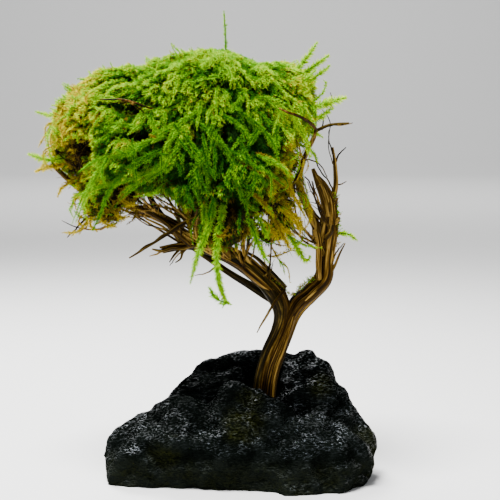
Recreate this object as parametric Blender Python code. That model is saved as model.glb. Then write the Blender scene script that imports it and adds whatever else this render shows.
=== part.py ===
"""Aquarium moss tree: a driftwood trunk set in a black stone, its crown grown over with hanging moss.

Z is up, and X runs to the right and Y to the back as seen from the front.
The origin is the centre of the stone's flat underside.
Shapes are worked out in millimetres and scaled to metres as each mesh is made.
"""

import math

import bmesh
import bpy
from mathutils import Matrix, Vector, noise

MM = 0.001

# Driving dimensions, in millimetres
STONE_WIDTH = 113.0
STONE_DEPTH = 82.0
STONE_HEIGHT = 50.0
TRUNK_RADIUS = 4.8
JOINT_GAP = 0.3

# Where the trunk enters the stone, and how deep its foot goes
FOOT_X = 10.0
FOOT_Z = 24.0

# Mesh fineness
STONE_VOXEL = 1.8
MOSS_VOXEL = 1.7
STONE_TRIANGLES = 3000
MOSS_TRIANGLES = 1900
ROUTE_STEPS = 2

# Surface relief, as layers of height, wavelength and kind
STONE_RELIEF = [(2.4, 18.0, "lumps"), (1.4, 9.0, "ridges")]
MOSS_RELIEF = [(3.0, 15.0, "lumps"), (1.6, 7.0, "lumps")]
RIDGE_SHARPNESS = 3.2


def clear_scene():
    for obj in list(bpy.data.objects):
        bpy.data.objects.remove(obj)


def material(name, colour, roughness):
    made = bpy.data.materials.new(name)
    made.use_nodes = True
    shader = made.node_tree.nodes["Principled BSDF"]
    shader.inputs["Base Color"].default_value = (*colour, 1.0)
    shader.inputs["Roughness"].default_value = roughness
    shader.inputs["Metallic"].default_value = 0.0
    return made


def add_object(name, bm, finish=None):
    """An object from a bmesh in millimetres, with its faces pointing out."""
    bmesh.ops.recalc_face_normals(bm, faces=bm.faces)
    bmesh.ops.scale(bm, vec=(MM, MM, MM), verts=bm.verts)
    mesh = bpy.data.meshes.new(name)
    bm.to_mesh(mesh)
    bm.free()
    obj = bpy.data.objects.new(name, mesh)
    bpy.context.scene.collection.objects.link(obj)
    if finish is not None:
        mesh.materials.append(finish)
    return obj


def settle(obj):
    """Applies the object's modifiers to its mesh."""
    bpy.context.view_layer.update()
    graph = bpy.context.evaluated_depsgraph_get()
    mesh = bpy.data.meshes.new_from_object(obj.evaluated_get(graph))
    obj.modifiers.clear()
    obj.data = mesh


def combine(obj, other, operation):
    """Cuts other from obj, or joins it to obj, and removes other."""
    boolean = obj.modifiers.new(operation.lower(), "BOOLEAN")
    boolean.operation = operation
    boolean.object = other
    settle(obj)
    bpy.data.objects.remove(other)


# Wood: tapering, ridged tubes along smooth routes


def smooth_route(points):
    """A smooth curve through points of (x, y, z, radius)."""
    padded = [Vector(p) for p in (points[0], *points, points[-1])]
    route = []
    for a, b, c, d in zip(padded, padded[1:], padded[2:], padded[3:]):
        bend = 2 * a - 5 * b + 4 * c - d
        swing = 3 * b - a - 3 * c + d
        for step in range(ROUTE_STEPS):
            t = step / ROUTE_STEPS
            route.append(0.5 * (2 * b + (c - a) * t + bend * t**2 + swing * t**3))
    route.append(padded[-1])
    return route


def section_axes(route):
    """Two axes across the route at each of its points, turning as little as they can."""
    places = [p.xyz for p in route]
    side = None
    axes = []
    for i in range(len(places)):
        along = (places[min(i + 1, len(places) - 1)] - places[max(i - 1, 0)]).normalized()
        if side is None:
            side = along.cross(Vector((0, 1, 0))).normalized()
        side = (side - along * side.dot(along)).normalized()
        axes.append((side, along.cross(side)))
    return axes


def wood_tube(points, sides=8, ridges=0, ridge_depth=0.0, twist=0.0, grow=0.0):
    """A closed tube with ridges that wind along it. grow thickens it for cutting its neighbours."""
    route = smooth_route(points)
    bm = bmesh.new()
    rings = []
    travelled = 0.0
    for i, (place, (side, up)) in enumerate(zip(route, section_axes(route))):
        travelled += (place.xyz - route[max(i - 1, 0)].xyz).length
        ring = []
        for k in range(sides):
            angle = 2 * math.pi * k / sides
            ridge = ridge_depth * math.cos(ridges * angle + twist * travelled)
            radius = place.w * (1 + ridge) + grow
            offset = (side * math.cos(angle) + up * math.sin(angle)) * radius
            ring.append(bm.verts.new(place.xyz + offset))
        rings.append(ring)
    for low, high in zip(rings, rings[1:]):
        for k in range(sides):
            bm.faces.new((low[k - 1], low[k], high[k], high[k - 1]))
    bm.faces.new(rings[0])
    bm.faces.new(rings[-1])
    return bm


# Each branch: its route with radii, and its section.
# The first point of a branch lies inside what it grows from.
BRANCHES = {
    "trunk": {
        "points": [
            (FOOT_X - 0.8, 2.5, FOOT_Z, 1.04 * TRUNK_RADIUS),
            (FOOT_X - 0.2, 1.5, 34, 1.0 * TRUNK_RADIUS),
            (11.0, 0.5, 44, 0.94 * TRUNK_RADIUS),
            (13.4, 0, 52, 0.93 * TRUNK_RADIUS),
            (16.6, 0, 60, 0.94 * TRUNK_RADIUS),
            (18.7, 0, 67, 1.06 * TRUNK_RADIUS),
            (19.8, 0, 72, 1.04 * TRUNK_RADIUS),
            (20.4, 0, 76, 0.6 * TRUNK_RADIUS),
        ],
        "sides": 20,
        "ridges": 4,
        "ridge_depth": 0.15,
        "twist": 0.035,
    },
    "left_limb": {
        "points": [
            (18.0, -0.5, 70, 3.4),
            (13.4, -1.5, 76.8, 3.7),
            (7.8, -2.5, 82.6, 3.5),
            (0.4, -3, 89.2, 3.3),
            (-7.7, -2, 93.6, 3.0),
            (-15, 0, 95.8, 2.6),
            (-22, -1, 96.4, 2.0),
            (-32, -4, 94.2, 1.3),
        ],
        "sides": 14,
        "ridges": 3,
        "ridge_depth": 0.16,
        "twist": 0.05,
    },
    "lower_left_limb": {
        "points": [
            (17.5, 2, 69, 2.8),
            (9.5, 4.5, 75.4, 2.3),
            (1, 7, 80.4, 2.1),
            (-6.8, 10, 85, 2.0),
            (-13, 13, 88.8, 1.9),
            (-20, 16, 93.5, 1.8),
            (-29, 20, 101, 1.6),
            (-37, 23, 111, 1.4),
            (-42, 24, 121, 1.0),
        ],
        "sides": 10,
        "ridges": 3,
        "ridge_depth": 0.12,
        "twist": 0.06,
    },
    "left_crown_branch": {
        "points": [
            (-14, 0.5, 96, 1.8),
            (-22, 3.5, 99.8, 1.9),
            (-30.5, 4, 105.2, 1.7),
            (-41.5, 2, 110.7, 1.5),
            (-53.5, 0, 114.5, 1.4),
            (-65.5, -1, 119, 1.2),
            (-77, -2, 129.5, 0.8),
        ],
        "sides": 8,
    },
    "middle_crown_branch": {
        "points": [
            (-8, -1.5, 94, 1.9),
            (-11.5, 2, 103, 1.9),
            (-16, 4, 113, 1.7),
            (-21, 4, 124, 1.5),
            (-26, 2, 137, 1.1),
        ],
        "sides": 8,
    },
    "front_crown_branch": {
        "points": [
            (-16, -1, 95.5, 1.5),
            (-18, -8, 104, 1.5),
            (-16, -16, 112, 1.3),
            (-10, -24, 123, 0.9),
        ],
        "sides": 8,
    },
    "right_limb": {
        "points": [
            (20.2, 0, 69.5, 3.6),
            (23.2, 0.3, 72.6, 3.9),
            (28.6, 1, 76, 3.6),
            (34.2, 2, 82.2, 3.9),
            (34.6, 2, 90.4, 3.6),
            (35.2, 2, 97, 3.9),
            (36, 1, 104, 3.8),
            (36.3, 0, 110.5, 3.1),
            (36, 0, 116.5, 2.6),
            (34, -1, 121.5, 1.8),
            (29.6, -3, 126.5, 0.8),
        ],
        "sides": 14,
        "ridges": 4,
        "ridge_depth": 0.14,
        "twist": 0.04,
    },
    "inner_branch": {
        "points": [
            (33.5, 0.5, 93, 1.6),
            (31.0, -1.5, 100, 1.8),
            (30.4, -1, 106, 1.6),
            (27, 2, 112, 1.5),
            (24, 5, 120, 1.4),
            (24.7, 6, 127.4, 1.2),
            (27, 4, 134, 1.1),
            (30.2, 2, 142.6, 1.0),
            (24.4, 0, 147.4, 0.9),
            (17, 0, 150.5, 0.7),
        ],
        "sides": 8,
    },
    "top_twig": {
        "points": [
            (36, 0.5, 112, 1.2),
            (38.6, 1.5, 119, 1.1),
            (38.4, 2, 128.7, 0.8),
            (37.4, 2, 136, 0.5),
        ],
        "sides": 6,
    },
    "side_twig": {
        "points": [
            (29.8, 2, 142.2, 0.7),
            (36, -2, 145.1, 0.6),
            (43.5, -6, 145.9, 0.4),
        ],
        "sides": 6,
    },
    "long_twig": {
        "points": [
            (-16.8, -13, 109, 1.0),
            (-24.3, -13, 105, 1.0),
            (-28.7, -13.5, 102.5, 0.9),
            (-36.2, -15, 97.4, 0.8),
            (-44.5, -16, 92.3, 0.5),
        ],
        "sides": 6,
    },
    "spike_twig": {
        "points": [
            (17.6, -3, 77.5, 0.6),
            (15.6, -6.8, 75.6, 0.6),
            (12.6, -9, 71.8, 0.6),
            (6.5, -13, 61.7, 0.3),
        ],
        "sides": 6,
    },
}

# What each branch grows from, and is cut back to with a small gap
GROWS_FROM = {
    "left_limb": ["trunk"],
    "right_limb": ["trunk", "left_limb"],
    "lower_left_limb": ["trunk", "left_limb", "right_limb"],
    "left_crown_branch": ["left_limb"],
    "middle_crown_branch": ["left_limb", "left_crown_branch"],
    "front_crown_branch": ["left_limb", "middle_crown_branch"],
    "inner_branch": ["right_limb"],
    "top_twig": ["right_limb"],
    "side_twig": ["inner_branch"],
    "long_twig": ["front_crown_branch"],
    "spike_twig": ["trunk", "left_limb"],
}


def grown_branch(name):
    """A branch thickened by the gap, for cutting what it meets."""
    return add_object(f"{name}_grown", wood_tube(grow=JOINT_GAP, **BRANCHES[name]))


def make_wood(finish):
    made = {}
    for name, shape in BRANCHES.items():
        made[name] = add_object(name, wood_tube(**shape), finish)
        for parent in GROWS_FROM.get(name, ()):
            combine(made[name], grown_branch(parent), "DIFFERENCE")
    return made


# Lumps joined into one body, for the stone and the moss


def hull_lump(bm, corners):
    """Adds the angular lump that just holds these corners."""
    verts = [bm.verts.new(c) for c in corners]
    hull = bmesh.ops.convex_hull(bm, input=verts, use_existing_faces=False)
    spare = {g for g in hull["geom_interior"] if isinstance(g, bmesh.types.BMVert)}
    bmesh.ops.delete(bm, geom=list(spare), context="VERTS")


def round_lump(bm, centre, radii):
    """Adds a round lump."""
    place = Matrix.Translation(centre) @ Matrix.Diagonal((*radii, 1.0))
    bmesh.ops.create_icosphere(bm, subdivisions=3, radius=1.0, matrix=place)


def fuse(obj, voxel, smoothing):
    """Joins overlapping lumps into one rounded body."""
    remesh = obj.modifiers.new("fuse", "REMESH")
    remesh.mode = "VOXEL"
    remesh.voxel_size = voxel * MM
    smooth = obj.modifiers.new("round", "SMOOTH")
    smooth.factor = 0.5
    smooth.iterations = smoothing
    settle(obj)


def roughen(obj, layers):
    """Pushes the surface in and out by layers of (height, wavelength, kind) in millimetres."""
    mesh = obj.data
    normals = [v.normal.copy() for v in mesh.vertices]
    for vertex, normal in zip(mesh.vertices, normals):
        place = vertex.co / MM
        push = 0.0
        for height, wavelength, kind in layers:
            value = noise.noise(place / wavelength)
            push += height * (1 - RIDGE_SHARPNESS * abs(value) if kind == "ridges" else value)
        vertex.co += normal * push * MM


def thin_out(obj, triangles):
    """Brings the mesh down to about this many triangles."""
    decimate = obj.modifiers.new("thin", "DECIMATE")
    decimate.ratio = triangles / (2 * len(obj.data.polygons))
    decimate.use_collapse_triangulate = True
    settle(obj)


def flatten_base(obj):
    """Cuts the stone off flat at the floor."""
    bm = bmesh.new()
    bm.from_mesh(obj.data)
    geometry = bm.verts[:] + bm.edges[:] + bm.faces[:]
    cut = bmesh.ops.bisect_plane(bm, geom=geometry, plane_co=(0, 0, 0), plane_no=(0, 0, 1), clear_inner=True)
    rim = [g for g in cut["geom_cut"] if isinstance(g, bmesh.types.BMEdge)]
    bmesh.ops.edgeloop_fill(bm, edges=rim)
    bm.to_mesh(obj.data)
    bm.free()


# The stone's lumps: the corners of each angular block,
# in shares of the stone's half width, half depth and height
STONE_LUMPS = {
    "left lobe": [
        (-0.99, -0.12, 0.16), (-0.98, 0.05, 0.27), (-0.90, -0.05, 0.39), (-0.78, 0.20, 0.43),
        (-0.74, -0.56, 0.28), (-0.62, -0.60, 0.18), (-0.90, -0.46, 0.24), (-0.67, -0.20, 0.52),
        (-0.95, -0.40, -0.1), (-0.88, 0.40, -0.1), (-0.60, -0.52, -0.1), (-0.50, 0.30, 0.40),
    ],
    "middle left mass": [
        (-0.70, 0.12, 0.51), (-0.54, 0.22, 0.62), (-0.39, -0.12, 0.67), (-0.21, -0.20, 0.60),
        (-0.25, -0.62, 0.35), (-0.53, -0.60, 0.38), (-0.65, -0.50, 0.41),
        (-0.60, -0.44, -0.1), (-0.20, -0.44, -0.1), (-0.50, 0.70, -0.1), (-0.30, 0.60, 0.58),
    ],
    "back ridge": [
        (-0.60, 0.20, 0.50), (-0.46, 0.33, 0.74), (-0.39, 0.37, 0.81), (-0.27, 0.44, 0.90),
        (-0.12, 0.49, 0.96), (0.16, 0.54, 0.97), (0.34, 0.56, 0.99),
        (-0.50, 0.80, -0.1), (0.40, 0.90, -0.1), (-0.40, 0.75, 0.50), (0.30, 0.85, 0.55),
        (-0.32, 0.05, 0.62), (-0.05, 0.12, 0.68), (0.10, 0.30, 0.62),
    ],
    "right hump": [
        (0.31, 0.52, 1.0), (0.46, 0.48, 0.975), (0.54, 0.46, 0.99), (0.57, 0.42, 0.94),
        (0.60, 0.36, 0.85), (0.65, 0.25, 0.75), (0.40, 0.64, 0.95), (0.53, 0.62, 0.92),
        (0.60, 0.68, 0.75), (0.30, 0.78, 0.70), (0.36, 0.16, 0.66), (0.46, -0.04, 0.56),
        (0.60, -0.20, 0.52), (0.74, -0.22, 0.50), (0.80, 0.04, 0.56), (0.93, 0.0, 0.43),
        (0.30, 0.90, -0.1), (0.86, 0.50, -0.1), (0.91, 0.30, 0.30), (0.36, -0.10, 0.10),
        (0.80, -0.30, 0.10),
    ],
    "right block": [
        (0.99, -0.05, 0.35), (0.955, -0.12, 0.14), (0.86, -0.32, -0.1), (0.86, 0.35, -0.1),
        (0.94, 0.15, 0.32), (0.68, -0.74, -0.1), (0.74, -0.72, 0.30), (0.30, -0.78, -0.1),
        (0.28, -0.72, 0.34), (0.55, -0.56, 0.46), (0.77, -0.05, 0.51), (0.25, -0.30, 0.50),
        (0.91, -0.45, 0.28), (0.50, -0.22, 0.56),
    ],
    "front spur": [
        (-0.06, -0.18, 0.81), (0.10, -0.20, 0.79), (0.36, -0.26, 0.63), (0.02, -0.30, 0.74),
        (-0.18, -0.46, 0.46), (-0.16, -0.70, 0.31), (0.04, -0.74, 0.29), (0.16, -0.62, 0.38),
        (-0.10, -0.52, -0.1), (0.25, -0.62, -0.1), (0.30, 0.10, 0.30), (-0.10, 0.10, 0.40),
        (-0.24, -0.12, 0.60), (-0.30, -0.40, 0.46), (-0.30, -0.56, 0.34), (-0.26, -0.50, -0.1),
    ],
    "front face": [
        (-0.66, -0.46, -0.1), (-0.20, -0.46, -0.1), (0.15, -0.62, -0.1), (0.66, -0.74, -0.1),
        (0.70, 0.0, -0.1), (-0.66, -0.50, 0.30), (-0.20, -0.54, 0.28), (0.15, -0.66, 0.30),
        (0.66, -0.68, 0.32), (0.60, 0.0, 0.50), (-0.60, 0.0, 0.50),
    ],
    "core": [
        (-0.80, -0.40, -0.1), (0.80, -0.60, -0.1), (0.85, 0.80, -0.1), (-0.75, 0.85, -0.1),
        (-0.40, -0.45, 0.30), (0.70, -0.45, 0.36), (0.60, 0.62, 0.50), (-0.40, 0.68, 0.50),
        (0.10, 0.30, 0.62),
    ],
}


def make_stone(finish):
    bm = bmesh.new()
    for corners in STONE_LUMPS.values():
        hull_lump(bm, [(x * STONE_WIDTH / 2, y * STONE_DEPTH / 2, z * STONE_HEIGHT) for x, y, z in corners])
    stone = add_object("stone", bm, finish)
    fuse(stone, STONE_VOXEL, smoothing=2)
    roughen(stone, STONE_RELIEF)
    thin_out(stone, STONE_TRIANGLES)
    flatten_base(stone)
    combine(stone, grown_branch("trunk"), "DIFFERENCE")
    return stone


# The moss: round clumps over the crown, as centre and radii
MOSS_CLUMPS = {
    "crown centre": ((-14, 1, 150), (39, 32, 26.6)),
    "crown left": ((-43, 0, 146), (31, 29, 24.6)),
    "crown right": ((12, 2, 152), (19.5, 27, 21)),
    "left shoulder": ((-60, 0, 138), (18.5, 21, 19.5)),
    "left tip": ((-72, -2, 133), (10, 11, 11)),
    "left droop": ((-54.3, -4, 116.7), (15.2, 16, 12.8)),
    "front left": ((-36, -22, 135), (24, 15, 18)),
    "front centre": ((-8, -26, 129), (24, 13, 22)),
    "front right": ((10.5, -19, 130), (13, 17, 22)),
    "centre drape": ((-5, -26, 112), (17, 9, 17)),
    "right drape": ((14.5, -13, 112), (12, 13, 16)),
    "dead moss": ((18.5, 2, 117), (8.5, 11, 15)),
    "back left": ((-38, 22, 133), (26, 17, 19)),
    "back centre": ((-8, 26, 130), (26, 15, 21)),
    "back right": ((11, 19, 131), (13.5, 17, 20)),
    "back drape": ((-12, 28, 113), (19, 8, 14)),
    "back droop": ((-54, 15, 119), (12, 13, 12)),
    "limb moss": ((6, -1, 100), (13, 8, 8)),
    "limb moss right": ((17, 2, 106), (10, 10, 9)),
}

# The long fronds that stand out of the moss, each from its root to its tip, with a radius at each point
MOSS_FRONDS = {
    "top frond": [(-6, 0, 172, 2.0), (-6.2, 0, 181, 1.0), (-6.8, 0, 191, 0.5)],
    "upper right frond": [(18, -5, 159, 2.0), (26, -7, 170, 1.3), (30.5, -8, 177.5, 0.6)],
    "upper right frond low": [(24, -4, 162, 1.8), (30, -5, 168, 1.1), (35.5, -6, 172.5, 0.5)],
    "right tip": [(26, -4, 151, 3.6), (34, -6, 153, 2.0), (42, -7, 155.5, 0.7)],
    "left tip upper": [(-66, -2, 145, 3.0), (-74, -3, 146.5, 1.4), (-81, -4, 146.5, 0.6)],
    "left tip": [(-74, -2, 131, 2.6), (-80, -3, 131, 1.4), (-86, -4, 133.5, 0.6)],
    "left tip low": [(-73, -2, 128, 2.2), (-79, -3, 127.5, 1.3), (-83.5, -3, 126, 0.6)],
    "left droop tip": [(-62, -6, 108, 3.0), (-66, -7, 103, 1.6), (-69, -8, 99, 0.6)],
    "hanging frond left": [
        (-10, -31, 112, 2.4), (-14, -33, 98, 1.4), (-17.5, -33, 90, 1.1), (-20.5, -33, 83, 0.5),
    ],
    "hanging frond right": [(-5, -32, 108, 2.4), (-7, -34, 94, 1.4), (-8, -34, 83, 1.1), (-5, -34, 76, 0.5)],
    "right hanging frond": [(12, -20, 104, 2.4), (15, -22, 96, 1.4), (17, -23, 90, 0.6)],
    "right low frond": [(24, -4, 107, 2.6), (28, -6, 98, 1.6), (31, -7, 91, 0.7)],
}

# The one tuft of moss that grows on the right limb itself
SIDE_TUFT = [(39.6, 0.6, 100.6, 1.4), (43.5, -0.5, 100.6, 1.2), (47.5, -2, 98, 0.6)]


def make_moss(finish):
    bm = bmesh.new()
    for centre, radii in MOSS_CLUMPS.values():
        round_lump(bm, centre, radii)
    moss = add_object("moss_canopy", bm, finish)
    fuse(moss, MOSS_VOXEL, smoothing=4)
    roughen(moss, MOSS_RELIEF)
    thin_out(moss, MOSS_TRIANGLES)
    for points in MOSS_FRONDS.values():
        combine(moss, add_object("frond", wood_tube(points, sides=6)), "UNION")
    for name in BRANCHES:
        combine(moss, grown_branch(name), "DIFFERENCE")
    return moss


def make_side_tuft(finish):
    tuft = add_object("side_moss_tuft", wood_tube(SIDE_TUFT, sides=8), finish)
    combine(tuft, grown_branch("right_limb"), "DIFFERENCE")


def main():
    clear_scene()
    driftwood = material("driftwood", (0.17, 0.09, 0.03), 0.6)
    black_stone = material("black_stone", (0.02, 0.022, 0.022), 0.45)
    green_moss = material("green_moss", (0.16, 0.32, 0.03), 0.7)
    make_wood(driftwood)
    make_stone(black_stone)
    make_moss(green_moss)
    make_side_tuft(green_moss)


main()
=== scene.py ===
"""Aquarium moss tree: the looks of its stone, driftwood and moss, and a plain studio.

The pieces are worked out in millimetres in the row frame and made in metres.
Each operator makes one piece, or one group of like pieces, and the panel lists them.
"""

import math

import bmesh
import bpy
import numpy as np
from bpy.props import FloatProperty, FloatVectorProperty, IntProperty, PointerProperty
from bpy.types import Operator, Panel, PropertyGroup
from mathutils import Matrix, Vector, noise
from mathutils.bvhtree import BVHTree


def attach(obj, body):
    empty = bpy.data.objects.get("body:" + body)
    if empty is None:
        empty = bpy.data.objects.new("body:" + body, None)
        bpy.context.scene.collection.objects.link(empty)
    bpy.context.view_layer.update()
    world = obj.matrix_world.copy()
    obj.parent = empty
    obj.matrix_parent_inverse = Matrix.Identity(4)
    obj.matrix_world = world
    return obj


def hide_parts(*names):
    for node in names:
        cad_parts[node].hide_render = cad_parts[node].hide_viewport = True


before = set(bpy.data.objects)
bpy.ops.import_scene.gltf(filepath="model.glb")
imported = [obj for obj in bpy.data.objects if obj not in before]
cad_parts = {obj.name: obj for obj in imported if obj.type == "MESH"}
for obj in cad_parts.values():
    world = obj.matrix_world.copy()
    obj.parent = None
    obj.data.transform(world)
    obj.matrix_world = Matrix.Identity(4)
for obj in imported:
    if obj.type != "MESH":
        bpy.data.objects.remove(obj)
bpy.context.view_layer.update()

bl_info = {
    "name": "Aquarium Moss Tree",
    "version": (1, 0, 0),
    "blender": (4, 5, 0),
    "location": "3D View > Sidebar > Moss Tree",
    "description": "Builds a small driftwood tree with a moss crown on a black stone",
    "category": "Object",
}

MM = 0.001
WELD = 1e-6  # metres within which two vertices are merged
TURN = 2 * math.pi
DOWN = np.array((0.0, 0.0, -1.0))

# Smooth curves and tubes


def smooth_route(points, spacing, steps=24):
    """An even curve through hand-placed points. Columns past the third, such as a radius, come along."""
    points = np.asarray(points, dtype=float)
    padded = np.vstack((points[0], points, points[-1]))
    fine = []
    for a, b, c, d in zip(padded, padded[1:], padded[2:], padded[3:]):
        t = np.linspace(0, 1, steps, endpoint=False)[:, None]
        square, cube = 2 * a - 5 * b + 4 * c - d, 3 * b - a - 3 * c + d
        fine.append(0.5 * (2 * b + (c - a) * t + square * t**2 + cube * t**3))
    fine = np.vstack((*fine, padded[-1:]))
    travelled = np.r_[0, np.cumsum(np.linalg.norm(np.diff(fine[:, :3], axis=0), axis=1))]
    count = max(4, int(travelled[-1] / spacing) + 1)
    at = np.linspace(0, travelled[-1], count)
    return np.column_stack([np.interp(at, travelled, column) for column in fine.T]), at


def resampled(points, rings, spacing=0.3):
    """A smooth curve through the points with a given number of rings."""
    fine, _ = smooth_route(points, spacing)
    return fine[np.linspace(0, len(fine) - 1, rings).astype(int)]


def unit(vectors):
    """Each vector at length one."""
    return vectors / np.maximum(np.linalg.norm(vectors, axis=-1, keepdims=True), 1e-9)


def cross_axes(paths):
    """Tangents and two axes across each path, for an array of paths x points x 3."""
    along = unit(np.gradient(paths, axis=-2))
    side = np.empty_like(paths)
    any_way = (0.31, 0.92, 0.24)
    side[..., 0, :] = unit(np.cross(along[..., 0, :], any_way))
    for i in range(1, paths.shape[-2]):
        held = side[..., i - 1, :]
        ahead = along[..., i, :]
        side[..., i, :] = unit(held - ahead * (held * ahead).sum(-1, keepdims=True))
    return along, side, np.cross(along, side)


def noise_at(places, seed=0.0):
    """Smooth noise from -1 to 1 at each of an array of places."""
    flat = np.asarray(places, dtype=float).reshape(-1, 3) + seed
    return np.array([noise.noise(Vector(p)) for p in flat]).reshape(np.shape(places)[:-1])


def smooth_step(low, high, value):
    """From 0 at low to 1 at high, with soft ends. low may be the greater one."""
    t = np.clip((value - low) / (high - low), 0, 1)
    return t * t * (3 - 2 * t)


# Meshes and objects


def object_from_arrays(name, vertices, triangles, finish, attributes=None, palette=None, smooth=False):
    """A piece from arrays in millimetres. palette is a place on the colour map for each vertex."""
    mesh = bpy.data.meshes.new(name)
    mesh.vertices.add(len(vertices))
    mesh.vertices.foreach_set("co", (vertices * MM).astype(np.float32).ravel())
    mesh.loops.add(triangles.size)
    mesh.loops.foreach_set("vertex_index", triangles.astype(np.int32).ravel())
    mesh.polygons.add(len(triangles))
    mesh.polygons.foreach_set("loop_start", np.arange(0, triangles.size, 3, dtype=np.int32))
    mesh.polygons.foreach_set("use_smooth", np.full(len(triangles), smooth))
    mesh.update(calc_edges=True)
    for key, values in (attributes or {}).items():
        write_attribute(mesh, key, values)
    if palette is not None:
        layer = mesh.uv_layers.new(name="OFBake")
        layer.data.foreach_set("uv", palette[triangles.ravel()].astype(np.float32).ravel())
    return finished_object(name, mesh, finish)


def write_attribute(mesh, name, values):
    """Stores one number or one vector for each vertex."""
    values = np.asarray(values, dtype=np.float32)
    kind, field = ("FLOAT", "value") if values.ndim == 1 else ("FLOAT_VECTOR", "vector")
    made = mesh.attributes.new(name, kind, "POINT")
    made.data.foreach_set(field, values.ravel())


def finished_object(name, mesh, finish):
    """Puts a mesh with its material into the scene, on the one body of the object."""
    mesh.materials.clear()
    mesh.materials.append(finish)
    obj = bpy.data.objects.new(name, mesh)
    bpy.context.scene.collection.objects.link(obj)
    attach(obj, "root")
    return obj


def mesh_places(mesh):
    places = np.empty(len(mesh.vertices) * 3, dtype=np.float32)
    mesh.vertices.foreach_get("co", places)
    return places.reshape(-1, 3).astype(float) / MM


def set_places(mesh, places):
    mesh.vertices.foreach_set("co", (places * MM).astype(np.float32).ravel())
    mesh.update()


def mesh_normals(mesh):
    normals = np.empty(len(mesh.vertices) * 3, dtype=np.float32)
    mesh.vertices.foreach_get("normal", normals)
    return normals.reshape(-1, 3).astype(float)


def merged_node(node):
    """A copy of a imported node's surface with its loose triangles merged."""
    bm = bmesh.new()
    bm.from_mesh(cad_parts[node].data)
    bmesh.ops.remove_doubles(bm, verts=bm.verts, dist=WELD)
    bmesh.ops.recalc_face_normals(bm, faces=bm.faces)
    return bm


def remade_node(node, name, voxel, rounds):
    """A fresh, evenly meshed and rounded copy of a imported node's surface."""
    bm = merged_node(node)
    source = bpy.data.meshes.new(name)
    bm.to_mesh(source)
    bm.free()
    return evened(source, name, voxel, rounds)


def evened(source, name, voxel, rounds):
    """Remeshes a closed mesh evenly, rounds it and keeps its main body. The source mesh is removed."""
    holder = bpy.data.objects.new(name, source)
    bpy.context.scene.collection.objects.link(holder)
    remesh = holder.modifiers.new("even", "REMESH")
    remesh.mode = "VOXEL"
    remesh.voxel_size = voxel * MM
    smooth = holder.modifiers.new("round", "SMOOTH")
    smooth.iterations = rounds
    bpy.context.view_layer.update()
    graph = bpy.context.evaluated_depsgraph_get()
    mesh = bpy.data.meshes.new_from_object(holder.evaluated_get(graph))
    bpy.data.objects.remove(holder)
    bpy.data.meshes.remove(source)
    keep_main_body(mesh)
    return mesh


def keep_main_body(mesh):
    """Deletes every loose part of the mesh but the largest."""
    bm = bmesh.new()
    bm.from_mesh(mesh)
    waiting = set(bm.verts)
    bodies = []
    while waiting:
        body, edge = set(), [waiting.pop()]
        while edge:
            vertex = edge.pop()
            body.add(vertex)
            fresh = {e.other_vert(vertex) for e in vertex.link_edges} & waiting
            waiting -= fresh
            edge.extend(fresh)
        bodies.append(body)
    bodies.sort(key=len)
    for body in bodies[:-1]:
        bmesh.ops.delete(bm, geom=list(body), context="VERTS")
    bm.to_mesh(mesh)
    bm.free()


# Materials


def new_material(name):
    """A material with its node tree and its Principled shader."""
    made = bpy.data.materials.new(name)
    made.use_nodes = True
    tree = made.node_tree
    return made, tree, tree.nodes["Principled BSDF"]


def group_tree(name, inputs, outputs):
    """An empty node group with named sockets, each given as (name, kind, default)."""
    tree = bpy.data.node_groups.new(name, "ShaderNodeTree")
    for direction, sockets in (("INPUT", inputs), ("OUTPUT", outputs)):
        for label, kind, default in sockets:
            socket = tree.interface.new_socket(label, in_out=direction, socket_type=f"NodeSocket{kind}")
            if default is not None:
                socket.default_value = default
    return tree, tree.nodes.new("NodeGroupInput"), tree.nodes.new("NodeGroupOutput")


def add_node(tree, kind, inputs=None, **settings):
    """A node with its settings, and its inputs either linked from a socket or set to a value."""
    node = tree.nodes.new(kind)
    for key, value in settings.items():
        setattr(node, key, value)
    for key, value in (inputs or {}).items():
        if isinstance(value, bpy.types.NodeSocket):
            tree.links.new(value, node.inputs[key])
        else:
            node.inputs[key].default_value = value
    return node


def add_ramp(tree, factor, stops):
    """A colour ramp with (position, colour) stops."""
    node = add_node(tree, "ShaderNodeValToRGB", {"Fac": factor})
    elements = node.color_ramp.elements
    while len(elements) < len(stops):
        elements.new(0.5)
    for element, (position, colour) in zip(elements, stops):
        element.position = position
        element.color = (*colour, 1.0)
    return node.outputs["Color"]


def maths(tree, operation, *values, clamp=False):
    """A Math node on sockets or numbers."""
    node = add_node(tree, "ShaderNodeMath", dict(enumerate(values)), operation=operation, use_clamp=clamp)
    return node.outputs[0]


def attribute(tree, name, output="Fac"):
    """What the mesh holds for each vertex under this name."""
    return add_node(tree, "ShaderNodeAttribute", attribute_name=name).outputs[output]


def noise_mask(tree, place, scale, detail, roughness=0.6):
    """Cloudy noise from 0 to 1."""
    cloud = {"Vector": place, "Scale": scale, "Detail": detail, "Roughness": roughness}
    return add_node(tree, "ShaderNodeTexNoise", cloud).outputs["Fac"]


def around_half(tree, mask, strength, middle=0.5):
    """The mask with its spread about one half made stronger, and moved to a new middle."""
    return maths(tree, "MULTIPLY_ADD", maths(tree, "SUBTRACT", mask, 0.5), strength, middle, clamp=True)


def mixed(tree, factor, first, second):
    """The first colour where factor is 0, the second where it is 1."""
    node = add_node(tree, "ShaderNodeMix", {"Factor": factor, "A": first, "B": second}, data_type="RGBA")
    return node.outputs["Result"]


def add_bump(tree, shader, height, depth):
    """Roughens the shader's surface by a mask. depth is in mm."""
    bump = add_node(tree, "ShaderNodeBump", {"Height": height, "Strength": 1.0, "Distance": depth * MM})
    tree.links.new(bump.outputs["Normal"], shader.inputs["Normal"])


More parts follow.
